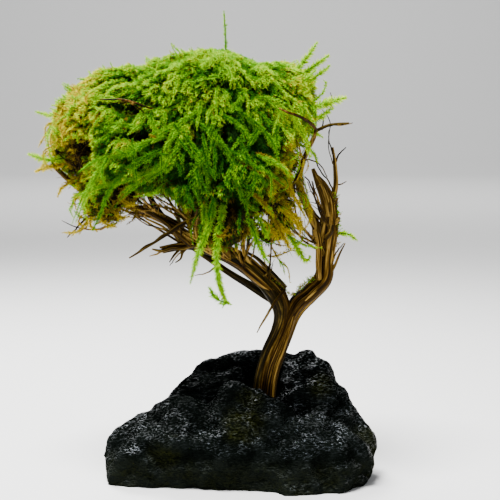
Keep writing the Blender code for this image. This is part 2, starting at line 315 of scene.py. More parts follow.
def set_finish(tree, shader, colour, roughness, specular):
    """Gives the shader a linked colour, with an even roughness and shine."""
    tree.links.new(colour, shader.inputs["Base Color"])
    shader.inputs["Roughness"].default_value = roughness
    shader.inputs["Specular IOR Level"].default_value = specular


def mottle_group():
    """Cloudy patches and fine grain in millimetres, as two masks from 0 to 1."""
    if "Mottle" in bpy.data.node_groups:
        return bpy.data.node_groups["Mottle"]
    tree, given, result = group_tree(
        "Mottle",
        [("Patch Size", "Float", 8.0), ("Grain Size", "Float", 0.8), ("Sharpness", "Float", 2.0)],
        [("Patches", "Float", None), ("Grain", "Float", None)],
    )
    coords = tree.nodes.new("ShaderNodeTexCoord")
    for size, label, detail in (("Patch Size", "Patches", 4.0), ("Grain Size", "Grain", 2.0)):
        scale = maths(tree, "DIVIDE", 1 / MM, given.outputs[size])
        cloud = noise_mask(tree, coords.outputs["Object"], scale, detail)
        tree.links.new(around_half(tree, cloud, given.outputs["Sharpness"]), result.inputs[label])
    return tree


def mottle(tree, patch, grain, sharpness=2.0):
    """The mottle group's two masks, with its sizes in mm."""
    sizes = {"Patch Size": patch, "Grain Size": grain, "Sharpness": sharpness}
    node = add_node(tree, "ShaderNodeGroup", sizes, node_tree=mottle_group())
    return node.outputs["Patches"], node.outputs["Grain"]


def layered_grain(tree, size, flatness):
    """Fine grain in millimetres that is wider than high, as a mask from 0 to 1."""
    coords = tree.nodes.new("ShaderNodeTexCoord").outputs["Object"]
    squeezed = add_node(tree, "ShaderNodeMapping", {"Vector": coords, "Scale": (1.0, 1.0, flatness)})
    cloud = noise_mask(tree, squeezed.outputs["Vector"], 0.6 / (size * MM), detail=1.5)
    return around_half(tree, cloud, strength=2.4)


def stone_material(settings):
    """Wet black rock, with olive algae where the algae attribute says."""
    made, tree, shader = new_material("wet_black_stone")
    patches, _ = mottle(tree, patch=6.0, grain=0.9)
    grain = layered_grain(tree, size=0.82, flatness=2.6)
    # The rock colour is lighter where the height attribute is high: on the raised relief, and low on the
    # stone as painted fill light.
    lit = maths(tree, "MULTIPLY_ADD", grain, 0.35, attribute(tree, "height"), clamp=True)
    darkest, darker = (0.0005, 0.0008, 0.0006), (0.0018, 0.0026, 0.0020)
    rock = add_ramp(tree, lit, [(0.2, darkest), (0.6, darker), (1.0, settings.rock_colour)])
    slime = add_ramp(tree, grain, [(0.2, (0.001, 0.0015, 0.0003)), (0.8, settings.algae_colour)])
    cover = maths(tree, "MULTIPLY", attribute(tree, "algae"), patches, clamp=True)
    tree.links.new(mixed(tree, cover, rock, slime), shader.inputs["Base Color"])
    specks = maths(tree, "MULTIPLY_ADD", grain, 3.0, -1.5, clamp=True)
    film = maths(tree, "MULTIPLY", attribute(tree, "wet"), specks)
    for socket, dry, soaked in (("Roughness", 0.5, 0.2), ("Specular IOR Level", 0.0, 0.39)):
        blend = add_node(tree, "ShaderNodeMapRange", {"Value": film, "To Min": dry, "To Max": soaked})
        tree.links.new(blend.outputs["Result"], shader.inputs[socket])
    shader.inputs["Specular Tint"].default_value = (0.76, 0.87, 1.0, 1.0)
    add_bump(tree, shader, grain, depth=0.6)
    return made


def wood_material(settings):
    """Made once, and shared by every piece of wood."""
    if "waterlogged_driftwood" in bpy.data.materials:
        return bpy.data.materials["waterlogged_driftwood"]
    return new_wood_material(settings)


def new_wood_material(settings):
    """Waterlogged driftwood. The ridge attribute says how light it is, and warmth how warm its colour."""
    made, tree, shader = new_material("waterlogged_driftwood")
    fibres = noise_mask(tree, attribute(tree, "grain", "Vector"), 1.5, detail=3.0, roughness=0.7)
    lit = around_half(tree, fibres, 1.3, middle=attribute(tree, "ridge"))
    warm = add_ramp(
        tree,
        lit,
        [
            (0.18, (0.0012, 0.0006, 0.0001)),
            (0.40, (0.0058, 0.0025, 0.0002)),
            (0.60, (0.027, 0.0120, 0.0007)),
            (0.80, (0.088, 0.043, 0.003)),
            (1.0, settings.light_colour),
        ],
    )
    cool = add_ramp(
        tree,
        lit,
        [
            (0.20, (0.0008, 0.0007, 0.0001)),
            (0.45, (0.0028, 0.0025, 0.0003)),
            (0.72, (0.0115, 0.0092, 0.001)),
            (1.0, (0.095, 0.066, 0.012)),
        ],
    )
    colour = mixed(tree, attribute(tree, "warmth"), cool, warm)
    set_finish(tree, shader, colour, roughness=0.55, specular=0.04)
    add_bump(tree, shader, fibres, depth=0.4)
    return made


# The moss colour map. Its left half is live moss, from dark green to bright, and its right half is dead moss,
# from dark to straw. Up the map the colours go from root to tip: dark at the roots as painted shade, and
# light at the tips, which are paler young growth.
LIVE_TO_DEAD = 0.5
TRANSLUCENCE = 0.3


def frond_material(settings):
    """Moss fronds, coloured by their place on the moss colour map."""
    made, tree, shader = new_material("moss_frond")
    place = add_node(tree, "ShaderNodeUVMap", uv_map="OFBake")
    split = add_node(tree, "ShaderNodeSeparateXYZ", {"Vector": place.outputs["UV"]})
    across, up = split.outputs["X"], split.outputs["Y"]
    dead = maths(tree, "GREATER_THAN", across, LIVE_TO_DEAD)
    tone = maths(tree, "FRACT", maths(tree, "MULTIPLY", across, 1 / LIVE_TO_DEAD))
    # lit mixes the place up the map, dark at the roots as painted shade, with the tone, which holds painted
    # light and shade besides the moss's own patches.
    lit = maths(tree, "MULTIPLY_ADD", up, 0.5, maths(tree, "MULTIPLY", tone, 0.5), clamp=True)
    live = add_ramp(
        tree,
        lit,
        [
            (0.05, (0.0003, 0.006, 0.0)),
            (0.28, (0.0035, 0.038, 0.0)),
            (0.48, (0.022, 0.165, 0.002)),
            (0.70, (0.218, 0.510, 0.0)),
            (1.0, settings.live_colour),
        ],
    )
    gone = add_ramp(
        tree,
        lit,
        [
            (0.05, (0.002, 0.0012, 0.0001)),
            (0.30, (0.030, 0.017, 0.001)),
            (0.60, (0.205, 0.132, 0.005)),
            (1.0, settings.dead_colour),
        ],
    )
    colour = mixed(tree, dead, live, gone)
    set_finish(tree, shader, colour, roughness=0.7, specular=0.06)
    glow = add_node(tree, "ShaderNodeBsdfTranslucent", {"Color": colour})
    shades = {0: TRANSLUCENCE, 1: shader.outputs["BSDF"], 2: glow.outputs["BSDF"]}
    blend = add_node(tree, "ShaderNodeMixShader", shades)
    tree.links.new(blend.outputs["Shader"], tree.nodes["Material Output"].inputs["Surface"])
    return made


def mat_material():
    """The tangle under the fronds, in dark greens and browns, browner where the moss is dead, kept near black
    as painted shade inside the moss.
    """
    made, tree, shader = new_material("moss_mat")
    patches, grain = mottle(tree, patch=9.0, grain=0.9, sharpness=3.0)
    green = add_ramp(tree, grain, [(0.2, (0.0006, 0.006, 0.0002)), (0.8, (0.010, 0.045, 0.0006))])
    brown = add_ramp(tree, grain, [(0.2, (0.001, 0.0006, 0.0002)), (0.8, (0.018, 0.010, 0.0015))])
    brownness = maths(tree, "MULTIPLY_ADD", patches, 0.35, attribute(tree, "deadness"), clamp=True)
    set_finish(tree, shader, mixed(tree, brownness, green, brown), roughness=0.9, specular=0.1)
    add_bump(tree, shader, grain, depth=0.8)
    return made


def plain_material(name, colour, roughness):
    """One even colour."""
    made, _, shader = new_material(name)
    shader.inputs["Base Color"].default_value = (*colour, 1.0)
    shader.inputs["Roughness"].default_value = roughness
    return made


def colour_property(name, description, default):
    """A colour that a user would change."""
    return FloatVectorProperty(
        name=name, description=description, default=default, subtype="COLOR", size=3, min=0, max=1
    )


# Stone

# Olive algae: the middle of each spot and its reach in mm
ALGAE_SPOTS = [
    ((1, -22, 27), 11), ((4, -14, 35), 7), ((54, -8, 13), 13), ((33, 2, 38), 7), ((-30, -20, 14), 9),
]
# What stands out above this height in mm is squashed, so that the relief doesn't raise the crest
CREST_HEIGHT, CREST_SQUASH = 48.4, 0.4
# Points of the underside lower than this in mm are set flat on the ground
FLAT_FOOT = 1.2
# The relief in mm that takes the height attribute from 0 to 1
RELIEF_RANGE = 2.2


class StoneSettings(PropertyGroup):
    seed: IntProperty(name="Seed", description="Changes the run of the folds", default=5, min=1)
    voxel: FloatProperty(name="Mesh Size", description="Edge length of its mesh in mm", default=0.72, min=0.3)
    lumps: FloatProperty(name="Lumps", description="Height of the coarse lumps in mm", default=0.8)
    wrinkles: FloatProperty(name="Wrinkles", description="Height of the wrinkles in mm", default=0.42)
    pits: FloatProperty(name="Pits", description="Depth of the small pits in mm", default=0.22)
    rock_colour: colour_property("Rock", "Colour of the highest ridges of the rock", (0.0052, 0.0068, 0.0060))
    algae_colour: colour_property("Algae", "Colour of the brightest algae", (0.016, 0.018, 0.002))


def stone_relief(places, settings):
    """How far the rock stands out at each place, in millimetres."""
    noise.seed_set(settings.seed)  # without it noise_vector differs from run to run
    relief = np.empty(len(places))
    for i, p in enumerate(places):
        warp = noise.noise_vector(Vector(p) / 9.0)
        q = Vector(p) + warp * 2.4
        lumps = noise.noise(q / 7.5)
        flat = Vector((q.x / 1.5, q.y / 1.5, q.z))
        folds = 1 - 2.4 * abs(noise.noise(flat / 2.9))
        fine = 1 - 2.4 * abs(noise.noise(flat / 1.25 + Vector((7, 3, 1))))
        near = noise.voronoi(q / 2.3)[0]
        pit = min(near[0] * 1.6, 1.0) - 0.6
        wrinkles = 0.6 * folds + 0.4 * fine
        relief[i] = settings.lumps * lumps + settings.wrinkles * wrinkles + settings.pits * pit
    return relief


def algae_cover(places):
    """Where olive algae grows: the front nose, the right end, a few scattered spots, and low on the stone."""
    cover = np.zeros(len(places))
    for centre, reach in ALGAE_SPOTS:
        away = np.linalg.norm(places - np.array(centre), axis=1) / reach
        cover = np.maximum(cover, smooth_step(1.1, 0.3, away))
    return np.maximum(cover, 0.45 * smooth_step(15, 6, places[:, 2]))


def wet_shine(places, normals, relief):
    """How wet the rock shines: where it faces up, in patches, more at the right and less at the left."""
    right = smooth_step(12, 30, places[:, 0])
    patch = noise_at(places / 7.0, 51.0) + 0.9 * noise_at(places / (3.6, 3.6, 2.0), 61.0) + 0.12 * right
    patch = smooth_step(-0.3, 0.35, patch)
    raised = smooth_step(0.15, 0.5, 0.35 + relief / RELIEF_RANGE)
    wet = smooth_step(-0.1, 0.7, normals[:, 2]) * (0.14 + 0.86 * patch) * raised
    shade = smooth_step(30, 12, np.linalg.norm((places - (-20, -6, 40)) * (1, 0.6, 1.6), axis=1))
    behind = smooth_step(30, 36, places[:, 2]) * right
    return wet * (1 - 0.85 * shade) * (1.1 + 0.7 * right - 1.0 * behind)


class MOSSTREE_OT_stone(Operator):
    """Makes the wet black stone"""

    bl_idname = "moss_tree.stone"
    bl_label = "Stone"

    def execute(self, context):
        settings = context.scene.moss_tree_stone
        mesh = remade_node("stone", "black_stone", settings.voxel, rounds=5)
        places, normals = mesh_places(mesh), mesh_normals(mesh)
        relief = stone_relief(places, settings)
        foot = smooth_step(0.2, 3.0, places[:, 2])
        places += normals * (relief * foot)[:, None]
        above = places[:, 2] - CREST_HEIGHT
        places[:, 2] = np.where(above > 0, CREST_HEIGHT + CREST_SQUASH * above, places[:, 2])
        places[:, 2] = np.maximum(places[:, 2], 0)
        places[(normals[:, 2] < -0.9) & (places[:, 2] < FLAT_FOOT), 2] = 0
        set_places(mesh, places)
        mesh.shade_smooth()
        # The height attribute is raised low on the stone: painted fill light where the light from above
        # reaches less. It also follows the relief, lighter on raised parts.
        low = smooth_step(17, 7, places[:, 2])
        write_attribute(mesh, "height", np.clip(0.35 + 0.3 * low + relief / RELIEF_RANGE, 0, 1))
        write_attribute(mesh, "algae", algae_cover(places))
        write_attribute(mesh, "wet", wet_shine(places, mesh_normals(mesh), relief))
        stone = finished_object("black_stone", mesh, stone_material(settings))
        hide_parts("stone")
        return {"FINISHED"}


# Driftwood


# Routes in millimetres, each point as (x, y, z, radius)
LEFT_ROUTE = [
    (7.0, 2.6, 24, 2.9), (7.6, 2.0, 34, 2.7), (9.0, 1.2, 44, 2.5), (11.2, 0.6, 52, 2.4),
    (14.7, 0.3, 60, 2.4), (16.5, -0.3, 66.5, 2.8), (15.9, -1.0, 72, 3.5), (13.0, -1.6, 77, 3.7),
    (8.0, -2.5, 82.5, 3.3), (0.5, -3.0, 89.0, 3.2), (-7.7, -2.0, 93.6, 3.1), (-15, 0, 95.6, 2.7),
    (-22, -1, 96.4, 1.9), (-32, -4, 94.2, 1.1),
]
RIGHT_ROUTE = [
    (11.4, 1.2, 24, 2.9), (11.6, 0.2, 34, 2.7), (12.9, -0.6, 44, 2.6), (15.6, -0.8, 52, 2.7),
    (18.7, -0.6, 60, 2.7), (20.9, -0.2, 66.5, 3.0), (23.8, 0.3, 71.8, 3.7), (28.6, 1, 76, 3.5),
    (34.0, 2, 82.2, 3.7), (34.7, 2, 90.4, 3.4), (35.2, 2, 97, 3.8), (36.0, 1, 104, 3.5),
    (36.3, 0, 110.5, 2.7), (35.6, 0, 116.0, 1.9), (33.6, -1, 121.0, 1.2), (30.4, -3, 125.0, 0.5),
]
BACK_ROUTE = [
    (9.6, 5.0, 25, 2.4), (10.2, 4.4, 36, 2.2), (11.6, 3.4, 46, 2.0), (14.3, 2.8, 54, 1.9),
    (17.0, 2.6, 62, 2.0), (17.4, 3.0, 68.5, 2.3), (13.6, 3.8, 73.2, 2.4), (9.5, 4.8, 75.4, 2.1),
    (1, 7, 80.2, 1.7), (-6.8, 10, 84.8, 1.6), (-13, 13, 89, 1.7), (-20, 16, 93.5, 1.7),
    (-29, 20, 101, 1.5), (-37, 23, 111, 1.3), (-42, 24, 121, 0.9),
]
# The strands of each limb: route, noise seed, and each strand as (turn, share of the radius, offset, warmth)
LIMBS = [
    (LEFT_ROUTE, 1.0, [(0.3, 0.64, 0.50, 0.15), (2.4, 0.60, 0.52, 0.75), (4.5, 0.58, 0.52, 0.25)]),
    (RIGHT_ROUTE, 21.0, [
        (0.9, 0.60, 0.54, 0.9), (2.6, 0.52, 0.58, 0.6), (4.2, 0.58, 0.52, 0.45), (5.6, 0.50, 0.58, 0.8),
    ]),
    (BACK_ROUTE, 41.0, [(0.0, 0.72, 0.36, 0.1), (3.1, 0.70, 0.36, 0.25)]),
]
# Strips of lighter bark on the limbs, each with its warmth
BARK_STRIPS = [
    (1.0, [
        (13.0, -4.6, 77.5, 0.9), (8.6, -5.6, 80.6, 1.2), (3.7, -6.0, 84.8, 1.3), (-0.4, -5.4, 88.2, 1.2),
        (-7, -4.4, 91.6, 1.1), (-14.8, -3, 95.2, 1.0), (-24, -3, 96.6, 0.8), (-33, -5, 95.5, 0.5),
    ]),
    (0.9, [
        (32.0, -2.4, 82, 0.8), (31.7, -3.0, 88, 1.1), (31.8, -3.0, 94, 1.2), (31.0, -2.4, 100, 1.2),
        (29, -1, 107, 1.1),
    ]),
    (0.3, [
        (18.4, -1.5, 78.8, 0.8), (15.0, -3.0, 82.6, 0.8), (10.4, -3.6, 87.2, 0.9), (6.5, -3.4, 91.0, 0.7),
        (2, -3, 93.5, 0.5),
    ]),
    (1.0, [
        (22.5, -2.8, 70.5, 0.7), (27, -2.6, 74.2, 0.8), (33.2, -1.2, 80.5, 0.9), (36.4, -0.6, 88, 0.7),
        (37.8, -0.4, 96, 0.7), (38.6, -0.6, 104, 0.5),
    ]),
    (1.0, [
        (12.6, -2.2, 30, 0.8), (12.8, -2.6, 38, 0.9), (14.6, -3.2, 46, 0.9), (17.6, -3.4, 54, 0.9),
        (20.2, -3.2, 62, 0.9), (22.2, -2.8, 69, 0.7),
    ]),
    (0.7, [
        (-12, -3, 96, 0.8), (-20, -5, 100, 0.8), (-28, -6, 105, 0.7), (-38, -6, 110, 0.6),
        (-48, -6, 113, 0.4),
    ]),
    (0.6, [(-4, -5, 91, 0.9), (-9, -8, 97, 0.9), (-12, -12, 104, 0.8), (-14, -15, 112, 0.6)]),
    (0.8, [(4, -4, 88, 0.8), (1, -8, 95, 0.8), (2, -12, 103, 0.7), (5, -14, 110, 0.5)]),
]
# Single branches
BRANCH_ROUTES = {
    "left_crown": [
        (-13, 0, 95.6, 1.8), (-22, 3.5, 99.8, 1.8), (-30.5, 4, 105.2, 1.6), (-41.5, 2, 110.7, 1.4),
        (-53.5, 0, 114.5, 1.3), (-65.5, -1, 119, 1.1), (-77, -2, 129.5, 0.7),
    ],
    "middle_crown": [(-8, -1.5, 94, 1.8), (-11.5, 2, 103, 1.8), (-16, 4, 113, 1.6), (-21, 4, 124, 1.4)],
    "front_crown": [(-16, -1, 95.5, 1.4), (-18, -8, 104, 1.4), (-16, -16, 112, 1.2), (-10, -24, 123, 0.8)],
    "inner": [
        (34.0, 0.5, 92, 1.5), (31.0, -1.5, 100, 1.7), (30.4, -1, 106, 1.5), (27, 2, 112, 1.4),
        (24, 5, 120, 1.3), (24.7, 6, 127.4, 1.1), (27, 4, 134, 1.0), (30.2, 2, 142.6, 0.9),
        (24.4, 0, 147.4, 0.8), (17, 0, 150.5, 0.6),
    ],
    "top_twig": [(36, 0.5, 112, 1.1), (38.6, 1.5, 119, 1.0), (38.4, 2, 128.7, 0.75), (37.4, 2, 136, 0.4)],
    "side_twig": [(29.8, 2, 142.2, 0.7), (36, -2, 145.1, 0.55), (43.5, -6, 145.9, 0.3)],
    "long_twig": [
        (-12.5, -14, 109.6, 0.8), (-17, -13, 108.4, 1.0), (-21, -13, 106.9, 0.85), (-25, -13, 104.6, 1.0),
        (-28.5, -13.5, 102.3, 0.75), (-31.5, -14, 100.6, 0.85), (-34.5, -14.5, 98.4, 0.55),
        (-38, -15, 96.6, 0.7), (-41, -15.5, 94.4, 0.45), (-44.5, -16, 92.3, 0.25),
    ],
    "long_twig_stub": [(-24.5, -13.2, 104.8, 0.6), (-23.6, -13.8, 102.6, 0.45), (-24.0, -14.2, 101.0, 0.2)],
    "limb_stub": [
        (-14, -3, 96, 1.5), (-19, -4, 96.4, 1.3), (-24, -5, 95.2, 1.0), (-28, -5.6, 95.4, 0.9),
        (-32, -6, 94.2, 0.7), (-36, -6.4, 95.0, 0.3),
    ],
    "limb_stub_twig": [
        (-21, -4.4, 96, 0.6), (-23.6, -5, 93.6, 0.5), (-24.4, -5.6, 91.0, 0.35), (-26.6, -6, 89.4, 0.15),
    ],
    "limb_stub_low": [(-24, -5, 95.6, 0.6), (-27, -6, 92.6, 0.5), (-29, -6, 89.6, 0.2)],
    "broken_top": [
        (35.4, -0.8, 108, 1.8), (34.0, -1.4, 115, 1.6), (31.6, -2.4, 121.5, 1.3), (29.2, -3, 127.4, 0.7),
    ],
    "knob_high": [(36.4, -0.6, 111, 1.1), (38.4, -1.2, 113, 0.9), (39.4, -1.6, 115.6, 0.4)],
    "knob_middle": [(36.8, -0.4, 104, 1.2), (39.2, -1.4, 105.8, 0.9), (40.2, -1.8, 107.6, 0.4)],
    "knob_low": [(34.6, -1.6, 99, 1.1), (36.6, -3.2, 101.6, 0.9), (37.2, -3.8, 104.6, 0.5)],
    "right_side_spur": [
        (36.6, 0, 84, 0.7), (38.6, -0.6, 88, 0.6), (40.4, -1.2, 92.6, 0.45), (42.6, -2, 97, 0.2),
    ],
    "cross_twig": [
        (-20.5, -6, 96.5, 0.9), (-25.5, -7, 101, 0.85), (-31, -7, 106, 0.8), (-38, -6, 110, 0.7),
        (-46, -5, 113, 0.5),
    ],
    "spike_twig": [
        (18.0, -2.6, 78, 0.6), (15.6, -6.2, 75.6, 0.65), (12.6, -8.8, 71.8, 0.6), (10, -10.6, 67.6, 0.5),
        (7.9, -12, 64.4, 0.35), (6.5, -13, 61.7, 0.15),
    ],
}


SEAM_WELD = 1e-7  # metres
# How many sides a strand has on a limb, in a bark strip and on a branch
LIMB_SIDES, STRIP_SIDES, BRANCH_SIDES = 36, 16, 14


class WoodSettings(PropertyGroup):
    spacing: FloatProperty(name="Limb Rings", description="Distance between them in mm", default=0.8, min=0.2)
    branch_spacing: FloatProperty(
        name="Branch Rings", description="Distance between them in mm", default=0.9, min=0.2
    )
    fibres: FloatProperty(name="Fibre Height", description="Height of the fibres in mm", default=0.16)
    twist: FloatProperty(name="Twist", description="Turn of the strands in radians per mm", default=0.022)
    light_colour: colour_property("Bare Ridges", "Colour of the lightest ridges", (0.34, 0.205, 0.038))


def bundle_strand(route, at, turn, share, offset, twist):
    """One strand of a bundle that winds round its route."""
    _, side, up = cross_axes(route[None, :, :3])
    angle = turn + twist * at
    reach = (offset * route[:, 3])[:, None]
    centre = route[:, :3] + (side[0] * np.cos(angle)[:, None] + up[0] * np.sin(angle)[:, None]) * reach
    return np.column_stack((centre, route[:, 3] * share))


def around_limb(angle, along, size, stretch):
    """Places for noise that is stretched along a limb and meets itself round it."""
    return np.column_stack((np.cos(angle) * size, np.sin(angle) * size, along / stretch))


def wood_strand(name, route, at, sides, fibre_height, warmth, seed, light=0.0):
    """A closed, fibrous tube: a grid wrapped round the route, welded at its seam and filled at its ends."""
    rings = len(route)
    bm = bmesh.new()
    bmesh.ops.create_grid(bm, x_segments=sides, y_segments=rings - 1, size=0.5)
    bm.verts.ensure_lookup_table()
    grid = np.array([v.co[:2] for v in bm.verts])
    angle = (grid[:, 0] + 0.5) * TURN
    row = np.rint((grid[:, 1] + 0.5) * (rings - 1)).astype(int)
    _, side, up = cross_axes(route[None, :, :3])
    out = side[0][row] * np.cos(angle)[:, None] + up[0][row] * np.sin(angle)[:, None]
    radius, along = route[row, 3], at[row]
    broad = noise_at(around_limb(angle, along, 1.0, 30), seed)
    ribs = 1 - 2.6 * np.abs(noise_at(around_limb(angle, along, 2.6, 34), seed + 5))
    hairs = noise_at(around_limb(angle, along, 5.5, 22), seed + 11)
    fibre = fibre_height * (1.6 * ribs + 1.1 * hairs) * np.clip(radius / 1.6, 0.3, 1.2)
    lift = radius * 0.16 * broad + fibre
    places = route[row, :3] + out * (radius + lift)[:, None]
    for vertex, place in zip(bm.verts, places):
        vertex.co = Vector(place) * MM
    # Darker towards the foot of the trunk: painted shade where it goes into the stone.
    foot = 0.2 * smooth_step(46, 26, places[:, 2])
    pale = 0.14 * smooth_step(92, 106, places[:, 2]) * (places[:, 0] > 24)
    ridge = 0.44 + light + 0.36 * ribs + 0.30 * hairs + 0.12 * broad - foot + pale
    layers = bm.verts.layers
    for layer, values in (
        (layers.float.new("ridge"), np.clip(ridge, 0, 1)),
        (layers.float.new("warmth"), np.clip(warmth + 0.35 * broad, 0, 1)),
        (layers.float_vector.new("grain"), around_limb(angle, along, radius * 1.3, 20) + seed),
    ):
        for vertex, value in zip(bm.verts, values):
            vertex[layer] = value
    bmesh.ops.remove_doubles(bm, verts=bm.verts, dist=SEAM_WELD)
    bmesh.ops.holes_fill(bm, edges=[e for e in bm.edges if e.is_boundary], sides=0)
    bmesh.ops.recalc_face_normals(bm, faces=bm.faces)
    mesh = bpy.data.meshes.new(name)
    bm.to_mesh(mesh)
    bm.free()
    mesh.shade_smooth()
    return mesh


def join_meshes(name, meshes):
    """One mesh from several, which are removed."""
    bm = bmesh.new()
    for mesh in meshes:
        bm.from_mesh(mesh)
    whole = bpy.data.meshes.new(name)
    bm.to_mesh(whole)
    bm.free()
    for mesh in meshes:
        bpy.data.meshes.remove(mesh)
    return whole


def limb_strands(settings):
    """The strands that make up the limbs and the trunk, with the strips of bark on them."""
    meshes, fibres = [], settings.fibres
    for points, first_seed, strands in LIMBS:
        route, at = smooth_route(points, settings.spacing)
        for i, (turn, share, offset, warmth) in enumerate(strands):
            strand = bundle_strand(route, at, turn, share, offset, settings.twist)
            seed = first_seed + 3.7 * i
            meshes.append(wood_strand("strand", strand, at, LIMB_SIDES, fibres, warmth, seed))
    for i, (warmth, points) in enumerate(BARK_STRIPS):
        route, at = smooth_route(points, settings.spacing)
        seed = 81.0 + 3.1 * i
        meshes.append(wood_strand("strip", route, at, STRIP_SIDES, fibres, warmth, seed, light=0.22))
    return meshes


def branch_strands(settings):
    """The single branches, one strand each."""
    meshes, fibres = [], 0.8 * settings.fibres
    for i, points in enumerate(BRANCH_ROUTES.values()):
        route, at = smooth_route(points, settings.branch_spacing)
        seed = 60.0 + 2.3 * i
        meshes.append(wood_strand("branch", route, at, BRANCH_SIDES, fibres, 0.6, seed, light=0.1))
    return meshes


class MOSSTREE_OT_driftwood(Operator):
    """Makes the driftwood trunk and limbs from winding strands, and the single branches"""

    bl_idname = "moss_tree.driftwood"
    bl_label = "Driftwood"

    def execute(self, context):
        settings = context.scene.moss_tree_wood
        finish = wood_material(settings)
        joined = join_meshes("driftwood_limbs", limb_strands(settings))
        trunk = finished_object("driftwood_limbs", joined, finish)
        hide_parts("trunk", "left_limb", "lower_left_limb", "right_limb")
        joined = join_meshes("driftwood_branches", branch_strands(settings))
        branches = finished_object("driftwood_branches", joined, finish)
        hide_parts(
            "left_crown_branch",
            "middle_crown_branch",
            "front_crown_branch",
            "inner_branch",
            "top_twig",
            "side_twig",
            "long_twig",
            "spike_twig",
        )
        return {"FINISHED"}


# Many small things as arrays


def slim_tubes(paths, radii, sides=4):
    """Closed tubes along many paths at once. paths is tubes x rings x 3, radii tubes x rings."""
    count, rings, _ = paths.shape
    _, side, up = cross_axes(paths)
    angle = np.arange(sides) * TURN / sides
    out = side[:, :, None] * np.cos(angle)[:, None] + up[:, :, None] * np.sin(angle)[:, None]
    vertices = paths[:, :, None] + out * radii[:, :, None, None]
    here = np.arange(sides)
    there = (here + 1) % sides
    low = np.arange(rings - 1)[:, None] * sides
    first = np.stack([low + here, low + there, low + sides + there], -1)
    second = np.stack([low + here, low + sides + there, low + sides + here], -1)
    wall = np.stack([first, second], 1).reshape(-1, 3)
    top = (rings - 1) * sides
    ends = []
    for k in range(1, sides - 1):
        ends += [(0, k + 1, k), (top, top + k, top + k + 1)]
    faces = np.vstack((wall, ends))
    size = rings * sides
    triangles = (faces[None] + np.arange(count)[:, None, None] * size).reshape(-1, 3)
    return vertices.reshape(-1, 3), triangles


def blades(roots, aims, lengths, widths, rng):
    """Pointed leaves, each a slim triangle on its root, turned at random about its aim."""
    aims = unit(aims)
    across = unit(np.cross(aims, rng.normal(0, 1, aims.shape))) * (0.5 * widths)[:, None]
    vertices = np.stack((roots - across, roots + across, roots + aims * lengths[:, None]), 1)
    return vertices.reshape(-1, 3), np.arange(len(roots) * 3).reshape(-1, 3)


def along_paths(paths, count, rng):
    """Random places on the paths, more on long ones: path, share of the way, place and the axes there."""
    reach = np.linalg.norm(np.diff(paths, axis=1), axis=2).sum(1)
    owner = rng.choice(len(paths), size=count, p=reach / reach.sum())
    share = rng.random(count)
    spot = share * (paths.shape[1] - 1)
    row = np.minimum(spot.astype(int), paths.shape[1] - 2)
    part = (spot - row)[:, None]
    axes = cross_axes(paths)
    place = paths[owner, row] * (1 - part) + paths[owner, row + 1] * part
    return owner, share, place, *(axis[owner, row] for axis in axes)


def grow_paths(roots, aims, lengths, steps, droop, curl, rng, bed=None, least=None, most=None):
    """Paths that start at the roots along the aims, sink by droop and bend by a steady curl.

    With a bed, they keep between least and most above it.
    """
    count = len(roots)
    paths = np.empty((count, steps + 1, 3))
    paths[:, 0] = roots
    aim = unit(aims)
    step = (lengths / steps)[:, None]
    bend = rng.normal(0, curl, (count, 3))
    for i in range(steps):
        aim = unit(aim + (DOWN * droop + bend) * step + rng.normal(0, 0.035, (count, 3)))
        place = paths[:, i] + aim * step
        if bed is not None:
            place = bed.above(place, least, most)
            aim = unit(0.6 * aim + 0.4 * unit(place - paths[:, i]))
        paths[:, i + 1] = place
    return paths


def side_shoots(paths, count, spread, reach, steps, droop, curl, rng, onward=1.0, taper=None):
    """Short paths that branch off at random places: which path each is on, its root and its own path.

    spread is how far they fan out across the path in its two directions, and reach their least and greatest
    length in mm. With a taper they get shorter towards the tip.
    """
    owner, share, place, along, side, other = along_paths(paths, count, rng)
    fan = [rng.normal(0, way, (count, 1)) for way in spread]
    aims = along * onward + side * fan[0] + other * fan[1]
    lengths = rng.uniform(*reach, count)
    if taper is not None:
        lengths = lengths * (taper - share)
    return owner, place, grow_paths(place, aims, lengths, steps, droop, curl, rng)


